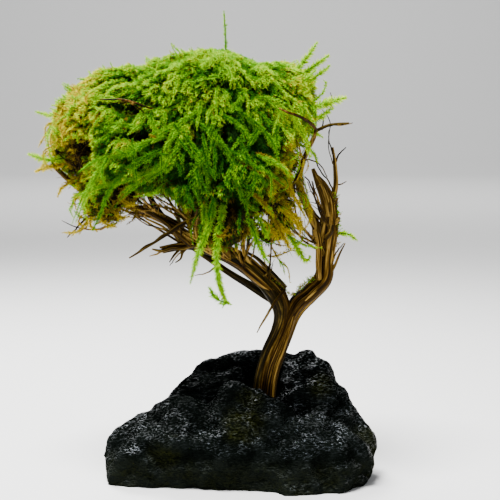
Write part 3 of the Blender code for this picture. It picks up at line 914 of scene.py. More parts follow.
class MossBatch:
    """Gathers moss of several sorts into one piece, coloured by a place on the moss colour map."""

    def __init__(self, name):
        self.name = name
        self.vertices, self.triangles, self.palette = [], [], []
        self.total = 0

    def add(self, vertices, triangles, tone, dead, up):
        """tone, dead and up hold a value for each vertex: how bright, whether dead, and root to tip."""
        across = LIVE_TO_DEAD * (np.clip(tone, 0.02, 0.97) + dead)
        self.palette.append(np.column_stack((across, np.clip(up, 0.02, 0.98))))
        self.vertices.append(vertices)
        self.triangles.append(triangles + self.total)
        self.total += len(vertices)

    def add_blades(self, roots, aims, lengths, widths, tones, dead, rng):
        """dead is the chance that a blade is dead moss."""
        vertices, triangles = blades(roots, aims, lengths, widths, rng)
        gone = np.repeat(rng.random(len(roots)) < dead, 3)
        # The blade's root corners sit low on the map, dark as painted shade at its base; its tip is lighter
        # the brighter its tone.
        tip = 0.56 + 0.42 * np.clip(tones, 0, 1)
        up = np.column_stack((np.full(len(roots), 0.14), np.full(len(roots), 0.2), tip)).ravel()
        self.add(vertices, triangles, np.repeat(tones, 3), gone, up)

    def add_strands(self, paths, radii, tones, dead, rng, per_mm=9.0, stem=0.2, slim=0.27):
        """Strands like pipe cleaners: a thin stem set all round with blades that lean to its tip.

        radii, tones and dead hold a value for each strand, or one for all.
        """
        count, rings, _ = paths.shape
        radii, tones = np.broadcast_to(radii, count), np.broadcast_to(tones, count)
        share = np.linspace(0, 1, rings)
        thick = np.repeat((stem * (1.1 - 0.8 * share))[None], count, 0)
        sides = 3
        vertices, triangles = slim_tubes(paths, thick, sides)
        gone = rng.random(count) < dead
        size = rings * sides
        up = 0.10 + 0.15 * np.tile(np.repeat(share, sides), count)
        self.add(vertices, triangles, np.repeat(tones - 0.1, size), np.repeat(gone, size), up)
        reach = np.linalg.norm(np.diff(paths, axis=1), axis=2).sum()
        owner, share, place, along, side, other = along_paths(paths, int(reach * per_mm), rng)
        angle = rng.uniform(0, TURN, len(owner))[:, None]
        out = side * np.cos(angle) + other * np.sin(angle)
        taper = np.minimum(1, 1.5 * (1.04 - share) ** 0.45) * np.minimum(1, 0.6 + 3 * share)
        lengths = radii[owner] * taper * rng.uniform(0.55, 1.4, len(owner))
        aims = out + along * rng.uniform(0.3, 1.2, (len(owner), 1))
        shade = tones[owner] + rng.normal(0, 0.07, len(owner)) + 0.12 * share
        vertices, triangles = blades(place, aims, lengths, lengths * slim, rng)
        # Each blade is dark at its root as painted shade and light at its tip.
        up = np.tile((0.16, 0.26, 0.88), len(owner)) + 0.10 * np.repeat(share, 3)
        self.add(vertices, triangles, np.repeat(shade, 3), np.repeat(gone[owner], 3), up)

    def make(self, finish):
        """The finished piece."""
        vertices, triangles = np.vstack(self.vertices), np.vstack(self.triangles)
        piece = object_from_arrays(self.name, vertices, triangles, finish, palette=np.vstack(self.palette))
        return piece


# Moss


class MossSettings(PropertyGroup):
    seed: IntProperty(name="Seed", description="Changes every random choice", default=11)
    inset: FloatProperty(name="Mat Depth", description="Depth under the moss outline in mm", default=1.8)
    thinnest: FloatProperty(name="Thinnest Mat", description="Half its least thickness in mm", default=5.0)
    ridges: FloatProperty(name="Ridges", description="Height of the ridges on the mat in mm", default=3.6)
    pockets: FloatProperty(name="Pockets", description="Depth of the dark pockets in mm", default=6.0)
    hollow: FloatProperty(name="Hollow", description="How far the dead moss falls back in mm", default=3.5)
    fuzz: IntProperty(name="Fuzz", description="Leaves on the mat", default=440000, min=0)
    sprigs: IntProperty(name="Sprigs", description="Short sprigs on the top", default=1300, min=0)
    strands: IntProperty(name="Strands", description="Strands on the sides", default=430, min=0)
    under: IntProperty(name="Underside Strands", description="Thin strands below", default=260, min=0)
    live_colour: colour_property("Live Tips", "Colour of the brightest live moss", (0.740, 0.840, 0.0))
    dead_colour: colour_property("Dead Tips", "Colour of the lightest dead moss", (0.900, 0.740, 0.025))


def ball_core(node, name, thinnest, inset, grid=3.2, voxel=2.0, rounds=4):
    """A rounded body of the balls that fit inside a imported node, without the spikes thinner than a ball."""
    bm = merged_node(node)
    tree = BVHTree.FromBMesh(bm)
    corners = np.array([v.co for v in bm.verts])
    bm.clear()
    axes = [np.arange(low, high, grid * MM) for low, high in zip(corners.min(0), corners.max(0))]
    centres, radii = [], []
    for spot in np.stack(np.meshgrid(*axes, indexing="ij"), -1).reshape(-1, 3):
        near, normal, _, away = tree.find_nearest(Vector(spot))
        inside = (near - Vector(spot)).dot(normal) > 0.7 * away
        if inside and away > thinnest * MM:
            centres.append(spot)
            radii.append(away - inset * MM)
    bmesh.ops.create_icosphere(bm, subdivisions=2, radius=1.0)
    ball = np.array([v.co for v in bm.verts])
    faces = np.array([[v.index for v in face.verts] for face in bm.faces])
    bm.free()
    vertices = np.array(centres)[:, None] + ball * np.array(radii)[:, None, None]
    triangles = (faces + np.arange(len(centres))[:, None, None] * len(ball)).reshape(-1, 3)
    source = bpy.data.meshes.new(name)
    source.from_pydata(vertices.reshape(-1, 3).tolist(), [], triangles.tolist())
    return evened(source, name, voxel, rounds)


class MossBed:
    """The mat's surface, for placing moss on it and laying strands over it."""

    def __init__(self, mesh):
        self.places = mesh_places(mesh)
        mesh.calc_loop_triangles()
        corners = np.empty(len(mesh.loop_triangles) * 3, dtype=np.int32)
        mesh.loop_triangles.foreach_get("vertices", corners)
        self.corners = corners.reshape(-1, 3)
        self.normals = mesh_normals(mesh)
        a, b, c = (self.places[self.corners[:, k]] for k in range(3))
        self.areas = 0.5 * np.linalg.norm(np.cross(b - a, c - a), axis=1)
        self.middles = (a + b + c) / 3
        self.facing = unit(np.cross(b - a, c - a))
        self.tree = BVHTree.FromPolygons(self.places.tolist(), self.corners.tolist())

    def scatter(self, count, weight, rng, values=()):
        """Random places on the mat, more on faces of high weight, with the normals and other values there."""
        chance = self.areas * weight
        chosen = rng.choice(len(chance), size=count, p=chance / chance.sum())
        mix = rng.dirichlet((1, 1, 1), count)
        corners = self.corners[chosen]
        places = (self.places[corners] * mix[..., None]).sum(1)
        normals = unit((self.normals[corners] * mix[..., None]).sum(1))
        return places, normals, *((value[corners] * mix).sum(1) for value in values)

    def above(self, places, least, most):
        """Moves places to between least and most above the mat."""
        moved = places.copy()
        for i, place in enumerate(places):
            near, normal, _, _ = self.tree.find_nearest(Vector(place))
            height = (Vector(place) - near).dot(normal)
            if height < least[i]:
                moved[i] += np.array(normal) * (least[i] - height)
            elif height > most[i]:
                moved[i] -= np.array(normal) * (height - most[i]) * 0.3
        return moved

    def front(self, route, lift, well_in_front=-200, most_back=6, first_depth=-20):
        """Puts a route of (x, z) points on the front of the mat, or past it level with the last one."""
        points = []
        depth = None
        for x, z in route:
            hit, _, _, _ = self.tree.ray_cast(Vector((x, well_in_front, z)), Vector((0, 1, 0)))
            if hit is not None:
                depth = hit[1] if depth is None else min(hit[1], depth + most_back)
            points.append((x, (first_depth if depth is None else depth) - lift, z))
        return points


# Dark pockets in the front of the moss, each as (x, z, half width, half height)
POCKETS = [
    (-43, 152, 6.5, 3.2), (-34, 154, 2.0, 2.0), (-38, 141, 6.0, 3.0), (-43, 163, 2.0, 2.0),
    (-19, 165, 2.0, 2.0), (-63, 136, 6.5, 5.0), (-18, 142, 2.6, 3.8), (-6, 142, 2.8, 4.6),
    (-9, 124, 3.2, 2.8), (14, 135, 1.8, 3.6), (-4, 114, 3.0, 3.2), (-8, 160, 2.3, 1.7), (2, 160, 2.4, 1.8),
    (-30, 122, 3.6, 2.6), (-46, 120, 5.5, 3.6), (20, 118, 3.0, 4.0), (-26, 134, 2.0, 2.2),
    (9, 150, 2.0, 1.5), (-12, 113, 6.0, 4.0), (7, 108, 5.0, 4.0), (-50, 113, 7.0, 3.6), (-72, 133, 4.0, 4.0),
    (24, 108, 3.0, 4.0), (-66, 128, 5.0, 4.5),
]


def pocket_depth(places):
    """From 0 on open moss to 1 in a dark pocket. The front has placed ones, and noise makes the others."""
    depth = np.zeros(len(places))
    x, y, z = places.T
    ragged = 1 + 0.35 * noise_at(places / 2.2, 71.0)
    for px, pz, wide, high in POCKETS:
        away = np.hypot((x - px) / wide, (z - pz) / high) * ragged
        depth = np.maximum(depth, smooth_step(1.35, 0.55, away) * (y < 0))
    elsewhere = smooth_step(0.36, 0.58, noise_at(places / (5.5, 5.5, 3.6), 41.0))
    return np.maximum(depth, elsewhere * smooth_step(-14, -4, y))


def moss_ridges(places):
    """From 0 between the ridges to 1 along them."""
    warp = np.column_stack([noise_at(places / 9.0, 13.0 + 7 * k) for k in range(3)]) * 3.5
    broad = 1 - 2.7 * np.abs(noise_at((places + warp) / (9.0, 9.0, 10.5), 3.0))
    narrow = 1 - 2.7 * np.abs(noise_at((places - warp) / (4.6, 4.6, 5.6), 19.0))
    return np.clip(0.62 * np.clip(broad, 0, 1) + 0.45 * np.clip(narrow, 0, 1), 0, 1)


def moss_flow(places):
    """The way that the strands run: out from the top and down, fanned from a line left of the middle."""
    x, y, z = places.T
    low = smooth_step(172, 140, z)
    out = np.column_stack(((x + 9) / 26, y / 30, np.zeros(len(x))))
    return unit(out * (1.25 - 0.5 * low)[:, None] + DOWN * (0.25 + 0.85 * low)[:, None])


def moss_streaks(places, size, reach, seed, steps=7):
    """Noise smeared along the flow, as strands lie: from 0 between strands to 1 on them."""
    total = np.zeros(len(places))
    for way in (-1, 1):
        spot = places
        for _ in range(steps):
            total += noise_at(spot / size, seed)
            spot = spot + moss_flow(spot) * (way * reach / steps)
    return smooth_step(-1.7, 1.7, total / total.std())


def lower_right(places):
    """From 0 to 1 in the airy, dead moss at the lower right."""
    x, _, z = places.T
    return smooth_step(8, 15, x + 0.4 * (128 - z)) * smooth_step(144, 132, z)


def moss_tone(places):
    """Lighter on top, darker in the front middle and in the hollow below, all painted light and shade;
    besides, random patches, lighter at the upper right, a little darker at the front left, and lighter and
    yellower at the left edge, partly paler moss and partly painted rim light.
    """
    x, y, z = places.T
    patch = noise_at(places / 12.0, 3.0) + 0.5 * noise_at(places / 5.0, 9.0)
    # Painted light: lighter higher up, where the light from above falls; painted shade in the front middle
    # and in the hollow below the crown.
    height = smooth_step(128, 172, z)
    painted_front_shade = smooth_step(34, 8, np.hypot(x + 4, 0.9 * (z - 134))) * smooth_step(0, -16, y)
    edge = smooth_step(-48, -70, x)
    golden = lower_right(places) * smooth_step(100, 112, z)
    painted_hollow_shade = smooth_step(120, 110, z) * smooth_step(-28, -20, x) * smooth_step(14, 6, x)
    right = smooth_step(6, 20, x) * smooth_step(122, 136, z)
    left = smooth_step(22, 12, np.hypot(x + 38, z - 136)) * smooth_step(0, -16, y)
    base = 0.36 + 0.31 * height + 0.26 * patch + 0.12 * right
    return base - 0.22 * painted_front_shade + 0.38 * edge + 0.26 * golden - 0.12 * painted_hollow_shade - 0.07 * left


def dead_share(places):
    """The share of dead, golden-brown moss: at the lower right, the left edge and below."""
    x, y, z = places.T
    right = 0.97 * lower_right(places)
    left = 0.95 * smooth_step(-51, -66, x)
    droop = 0.95 * smooth_step(1.3, 0.9, np.hypot((x + 45) / 12, (z - 111) / 9))
    below = 0.9 * smooth_step(122, 108, z) * np.maximum(smooth_step(-30, -16, y), smooth_step(-30, -20, x))
    patch = smooth_step(0.1, 0.5, noise_at(places / 8.0, 31.0))
    mottled = np.maximum.reduce((right, left, droop, below)) * (0.6 + 0.4 * patch) + 0.14 * patch
    sides = 0.17 * smooth_step(8, 24, x) + 0.07 * smooth_step(-20, -40, x)
    return np.clip(0.02 + mottled + sides, 0, 0.93)


# Bright strands over the front, each as (x, z) points from the root to the tip
FRONT_STRANDS = [
    [(-28, 141), (-41, 137), (-52, 130), (-59, 120), (-63, 112), (-65, 107)],
    [(-22, 138), (-32, 129), (-45, 124), (-56, 121), (-66, 117)],
    [(-38, 144), (-48, 146), (-55, 148)],
    [(-30, 136), (-40, 131), (-50, 121), (-55, 110), (-58, 104)],
    [(-24, 133), (-34, 127), (-42, 122), (-48, 117)],
    [(-34, 139), (-44, 134), (-55, 132), (-63, 127)],
    [(-57, 144), (-50, 143), (-44, 143)],
    [(-35, 141), (-30, 143), (-25, 146)],
    [(-61, 155), (-52, 155), (-46, 154)],
    [(-35, 149), (-33, 144), (-31, 142)],
    [(-20, 148), (-9, 140), (-1, 127)],
    [(-26, 146), (-19, 138), (-14, 130), (-12, 121)],
    [(-15, 136), (-17, 126), (-16, 116)],
    [(-1, 141), (4, 131), (10, 127)],
    [(-4, 136), (1, 132), (10, 127), (17, 122)],
    [(6, 134), (15, 130), (20, 125)],
    [(-2, 126), (1, 117), (5, 113), (7, 113)],
    [(0, 150), (8, 144), (13, 137), (15, 130)],
    [(8, 145), (5, 141), (3, 138)],
    [(14, 147), (14, 140), (15, 136)],
    [(4, 120), (9, 115), (13, 110)],
    [(-10, 150), (-2, 146), (4, 139)],
    [(-14, 152), (-22, 147), (-27, 140), (-30, 131)],
    [(12, 154), (20, 148), (25, 140), (27, 132)],
    [(16, 158), (24, 152), (29, 146)],
    [(-10, 118), (-12, 110), (-11, 104)],
]

# Strands that stand or hang clear of the mass: radius in mm, 1 if dead, and (x, y, z) points from root to tip
LONG_STRANDS = {
    "top": (1.1, 0, [(-6, 0, 172), (-6.3, 0, 181), (-6.8, 0, 191)]),
    "upper right": (2.2, 0, [(16, -5, 160), (25, -7, 170), (30.5, -8, 178)]),
    "upper right low": (2.0, 0, [(22, -4, 163), (30, -5, 169), (35.5, -6, 173)]),
    "upper right lowest": (1.9, 0, [(24, -4, 160), (31, -5, 165), (36, -6, 169)]),
    "upper right stub": (2.0, 0, [(20, -6, 158), (26, -8, 163), (30, -9, 167)]),
    "right tip": (2.9, 0, [(20, -6, 149), (32, -8, 153), (42, -8, 156)]),
    "right tip low": (2.2, 0, [(22, -6, 146), (31, -8, 148), (37, -8, 152)]),
    "right fringe": (1.5, 0, [(22, -10, 142), (29, -11, 142), (33, -10, 140)]),
    "right fringe low": (1.3, 0, [(22, -10, 138), (28, -11, 135), (31, -10, 130)]),
    "right curl": (1.2, 0, [(26, -5, 152), (32, -7, 157), (34, -8, 161), (33, -8, 163)]),
    "left tip upper": (1.9, 0, [(-62, -2, 151), (-71, -3, 150.5), (-77, -3.5, 149), (-83, -4, 150.5)]),
    "left tip spike": (1.4, 0, [(-62, -3, 157), (-68, -4, 159), (-72, -4, 161.5)]),
    "left hair": (0.9, 1, [(-75, -3, 148), (-79, -4, 141), (-82, -4, 136)]),
    "left tip": (2.3, 0, [(-68, -2, 133), (-78, -3, 131), (-86, -4, 133.5)]),
    "left tip low": (2.0, 1, [(-68, -2, 130), (-78, -3, 128), (-83.5, -3, 126)]),
    "left fringe": (1.4, 1, [(-66, -6, 124), (-72, -7, 120), (-74, -7, 116)]),
    "left fringe low": (1.4, 0, [(-62, -8, 120), (-67, -9, 115), (-68, -9, 111)]),
    "left droop": (1.4, 1, [(-58, -8, 110), (-62, -9, 106), (-66, -9, 102)]),
    "left spike high": (1.5, 0, [(-56, -4, 160), (-61, -5, 162.5), (-65, -6, 163.5)]),
    "left spike middle": (1.6, 1, [(-64, -3, 147), (-71, -4, 145), (-76, -5, 145)]),
    "left spike low": (1.6, 1, [(-66, -3, 140), (-73, -4, 138), (-78, -5, 138.5)]),
    "droop gold left": (1.4, 1, [(-60, -12, 109), (-60, -13, 105), (-57, -13, 102.5)]),
    "droop gold middle": (1.5, 1, [(-57, -13, 110), (-54, -14, 106), (-49.5, -14, 104.5)]),
    "droop gold right": (1.4, 1, [(-51, -13, 112), (-48, -15, 108.5), (-44, -15, 109)]),
    "droop gold high": (1.3, 1, [(-49, -13, 117), (-45, -15, 114), (-41, -15, 113.5)]),
    "left droop tip": (1.1, 1, [(-62, -8, 104), (-67, -9, 102), (-72, -10, 102)]),
    "hanging left": (2.1, 0, [
        (-10, -30, 121), (-10.5, -32, 112), (-13, -33, 104), (-16.5, -33, 95), (-19.5, -33, 84),
    ]),
    "hanging right": (2.1, 0, [
        (-5, -29, 122), (-7, -32, 112), (-9, -33, 101), (-9, -34, 91), (-7.5, -34, 82), (-5.5, -34, 77.5),
        (-3.5, -34, 76),
    ]),
    "hanging right end": (1.7, 0, [(-9, -34, 90), (-8, -34, 84), (-6.5, -34, 79.5), (-4.5, -34, 76)]),
    "hanging hook": (1.9, 0, [(-4.2, -34, 76.6), (-7, -34, 77.2), (-10, -34, 79.2), (-12.3, -34, 83)]),
    "hanging middle": (1.9, 0, [(-14, -28, 119), (-14, -31, 110), (-14, -31, 104)]),
    "hanging centre": (2.2, 0, [(2, -26, 114), (5, -29, 104), (8, -30, 97), (11, -30, 92)]),
    "hanging centre low": (2.1, 0, [(5, -26, 114), (8, -28, 107), (11, -29, 101)]),
    "right hanging": (1.8, 1, [(14, -19, 108), (17, -22, 101), (20, -23, 96)]),
    "right low": (2.1, 0, [(18, -12, 104), (22, -13, 97), (26, -13, 91), (28, -13, 93)]),
    "right low side": (1.1, 0, [(21, -12, 100), (26, -12, 97), (32, -12, 96)]),
    "right pale": (1.5, 1, [(16, -18, 117), (21, -20, 110), (24, -20, 107), (23, -20, 101)]),
    "gold high": (1.5, 1, [(17, -18, 128), (19, -20, 121), (23, -20, 114), (26, -19, 108)]),
    "gold middle": (1.6, 1, [(12, -21, 119), (16, -21, 113), (21, -20, 108), (24, -18, 102)]),
    "gold low": (1.5, 1, [(11, -19, 110), (16, -19, 105), (22, -17, 101)]),
    "gold front": (1.4, 1, [(8, -22, 109), (13, -21, 103), (16, -20, 97)]),
    "gold outer": (1.4, 1, [(22, -10, 124), (26, -11, 117), (28, -11, 109), (26, -12, 104)]),
    "tendril": (0.8, 1, [(12, -4, 97), (15, -4, 91), (19, -3, 87), (20, -3, 81)]),
    "tendril across": (0.8, 1, [(10, -4, 92), (15, -4, 92), (20, -3, 94), (23, -3, 94)]),
    "tendril low": (0.7, 0, [(15, -4, 91), (17, -4, 88), (18, -4, 84)]),
    "side": (1.8, 0, [(36, 1, 100.2), (40, 0.4, 100.8), (44, -0.7, 100.4), (47.5, -2, 98)]),
}

# Rows of small tufts on the limbs and in the droop: greatest length in mm, dead share, and (x, y, z) points
TUFT_ROWS = [
    (3.0, 0.55, [(10.0, -2, 86), (13.2, -2, 82.2), (17.2, -1.5, 78.4), (20.0, -1, 75.2)]),
    (3.0, 0.55, [(22, -1, 76), (26, 0, 79.5), (31, 0, 83)]),
    (3.0, 0.55, [(39.4, -0.5, 96), (39.8, -0.5, 104), (39.4, -0.5, 111), (38.2, -0.5, 117)]),
    (3.0, 0.55, [(-36, -5, 112), (-46, -5, 115), (-56, -4, 118)]),
    (5.5, 0.95, [(-41, -10, 119), (-43, -12, 114), (-46, -12, 111), (-51, -12, 108), (-57, -11, 106)]),
    (5.5, 0.9, [(-45, -13, 121), (-47, -14, 116), (-51, -14, 112), (-55, -14, 109)]),
]
STRAND_RINGS = 24
SHOOT_GAP = 2.2  # mm of a long strand for each of its side shoots
TUFTS_IN_ROW = 80

# Bundles of twigs between the limbs and the moss: start, end, how many, spread at the end, and radius in mm
TWIG_BUNDLES = [
    ((-9, -3, 93), (-46, -6, 114), 8, 5.0, 0.60),
    ((-16, -1, 97), (-34, -12, 118), 8, 6.0, 0.60),
    ((-12, -2, 95), (-20, -14, 120), 8, 6.0, 0.65),
    ((-6, -4, 92), (-6, -16, 116), 7, 6.0, 0.60),
    ((-20, 0, 97), (-24, 12, 116), 6, 7.0, 0.60),
    ((2, -3, 88), (6, -14, 112), 6, 6.0, 0.55),
    ((10, -2, 81), (12, -10, 110), 3, 5.0, 0.35),
    ((33, 0, 96), (17, -12, 116), 7, 6.0, 0.55),
    ((35, 0, 104), (22, -8, 124), 6, 5.0, 0.45),
    ((-56, -2, 116), (-72, -7, 140), 8, 4.0, 0.45),
    ((-60, -2, 118), (-66, -12, 136), 6, 4.0, 0.42),
    ((-40, -4, 109), (-52, -10, 121), 7, 5.0, 0.45),
]

# Single twigs, each as (x, y, z, radius) points
SINGLE_TWIGS = [
    [
        (20, -16, 119, 0.5), (23, -15, 127, 0.6), (27, -14, 136.5, 0.65), (30, -14, 142.5, 0.7),
        (26, -22, 147, 0.65), (20, -28, 149.5, 0.6), (15, -30.5, 151.4, 0.4),
    ],
    [(33, -2, 151, 0.15), (36, -2, 146.5, 0.2), (35.6, -1, 136.5, 0.2), (37.6, 1, 129, 0.25)],
    [(30, 2, 142, 0.5), (36, -2, 145, 0.4), (41, -5, 145, 0.3), (45, -6, 146, 0.15)],
    [(33, 0, 143, 0.3), (34, -1, 149, 0.25), (37, -3, 153, 0.2), (36, -3, 158, 0.15)],
    [(30, 2, 134, 0.3), (32, 1, 127, 0.3), (36, 1, 122, 0.35), (38, 1, 116, 0.4)],
    [(38, 2, 128, 0.5), (40, 2, 133, 0.35), (43, 1, 136, 0.2)],
    [(38, 2, 132, 0.4), (36, 1, 138, 0.25), (36, 1, 143, 0.15)],
    [(38, 2, 121, 0.4), (41, 1, 121, 0.3), (43, 0, 122, 0.15)],
    [(24, -2, 128, 0.3), (27, -3, 131, 0.3), (32, -3, 129, 0.25), (35, -3, 124, 0.2)],
    [(37, 0, 88, 0.5), (39, -1, 93, 0.35), (42, -2, 97, 0.15)],
    [(10, -4, 92, 0.25), (15, -4, 92, 0.25), (20, -3, 94, 0.2), (23, -3, 94, 0.15)],
    [(12, -4, 97, 0.25), (15, -4, 91, 0.2), (19, -3, 87, 0.15), (20, -3, 81, 0.12)],
    [(9, -5, 84, 0.4), (12, -5, 86, 0.3), (13, -5, 89, 0.15)],
    [(-20, -3, 96, 0.7), (-28, -4, 95, 0.55), (-34, -5, 93, 0.4), (-37, -5, 92, 0.2)],
    [(-22, -3, 96, 0.45), (-26, -5, 92, 0.3), (-29, -5, 88, 0.15)],
    [(-10, 8, 87, 0.4), (-14, 6, 84, 0.3), (-19, 5, 83, 0.15)],
    [(-62, -6, 108, 0.5), (-66, -7, 104, 0.35), (-70, -8, 100, 0.2)],
    [(-52, -8, 105, 0.4), (-58, -9, 103, 0.35), (-66, -9, 104, 0.25), (-72, -10, 107, 0.12)],
    [(-34, -29.0, 151.5, 0.3), (-40, -30.0, 153.5, 0.45), (-46, -29.5, 155, 0.4), (-54, -26.5, 155, 0.25)],
    [(-37, -29.5, 150, 0.25), (-43, -29.5, 154, 0.35), (-49, -28, 153.5, 0.2)],
    [(-20, -26, 121, 0.3), (-14, -31, 125, 0.3), (-9, -31, 121, 0.25), (-12, -32, 115, 0.15)],
]


TWIG_RINGS = 14
# Twigs above these heights in mm lie on the front of the moss and are darker
BARE_LOW, BARE_HIGH = 128, 134


def bridging_twigs(start, end, count, spread, rng, rings=10):
    """Crooked paths from near one point to near another."""
    share = np.linspace(0, 1, rings)[:, None]
    first = np.array(start) + rng.normal(0, 1.2, (count, 3))
    last = np.array(end) + rng.normal(0, spread, (count, 3)) * (1.0, 0.8, 0.45)
    reach = np.linalg.norm(last - first, axis=1)[:, None, None]
    bow = rng.normal(0, 0.05, (count, 1, 3)) * reach * np.sin(share * math.pi)
    wriggle = rng.normal(0, 0.03, (count, 1, 3)) * reach
    wriggle = wriggle * np.sin(share * TURN + rng.uniform(0, 6, (count, 1, 1)))
    straight = first[:, None] * (1 - share) + last[:, None] * share
    return straight + bow + wriggle + rng.normal(0, 0.16, (count, rings, 3))


class MOSSTREE_OT_twigs(Operator):
    """Makes the tangle of thin twigs between the limbs and the moss"""

    bl_idname = "moss_tree.twigs"
    bl_label = "Twigs"

    def execute(self, context):
        rng = np.random.default_rng(context.scene.moss_tree_moss.seed + 1)
        parts = []
        for start, end, count, spread, radius in TWIG_BUNDLES:
            paths = bridging_twigs(start, end, count, spread, rng)
            radii = radius * rng.uniform(0.6, 1.3, (count, 1)) * np.linspace(1.1, 0.5, paths.shape[1])
            parts.append((paths, radii, 5))
            few = count * 3
            _, _, shoots = side_shoots(paths, few, (0.8, 0.8), (2, 7), 6, 0.0, 0.06, rng)
            slim = radius * rng.uniform(0.3, 0.6, (few, 1)) * np.linspace(1, 0.4, shoots.shape[1])
            parts.append((shoots, slim, 4))
        for points in SINGLE_TWIGS:
            fine = resampled(points, TWIG_RINGS)
            crooked = fine[None, :, :3] + rng.normal(0, 0.10, (1, TWIG_RINGS, 3))
            parts.append((crooked, fine[None, :, 3], 6))
        made = [slim_tubes(*part) for part in parts]
        starts = np.cumsum([0] + [len(vertices) for vertices, _ in made])
        vertices = np.vstack([vertices for vertices, _ in made])
        triangles = np.vstack([triangles + start for (_, triangles), start in zip(made, starts)])
        finish = wood_material(context.scene.moss_tree_wood)
        looks = self.looks(vertices)
        twigs = object_from_arrays("twig_tangle", vertices, triangles, finish, looks, smooth=True)
        return {"FINISHED"}

    def looks(self, places):
        """What the wood material reads for each vertex."""
        bare = smooth_step(BARE_LOW, BARE_HIGH, places[:, 2])
        mottled = 0.5 * noise_at(places / 1.7, 5.0) + 0.45 * noise_at(places / 9.0, 8.0)
        return {
            "ridge": np.clip(0.75 - 0.22 * bare + mottled, 0, 1),
            "warmth": np.clip(0.8 + 0.8 * noise_at(places / 12.0, 2.0), 0, 1),
            "grain": places / (1.2, 1.2, 5.0),
        }


# The fuzz is one piece for each part of the depth, split at these y in mm
FUZZ_PIECES = ("moss_fuzz_front", "moss_fuzz_middle", "moss_fuzz_rear", "moss_fuzz_back")
FUZZ_SPLITS = (-24, -6, 14)
FRONT_DEPTH = -8  # strands rooted before this y belong to the front
TALL_SPRIGS = 0.22  # the share of sprigs that stand up tall


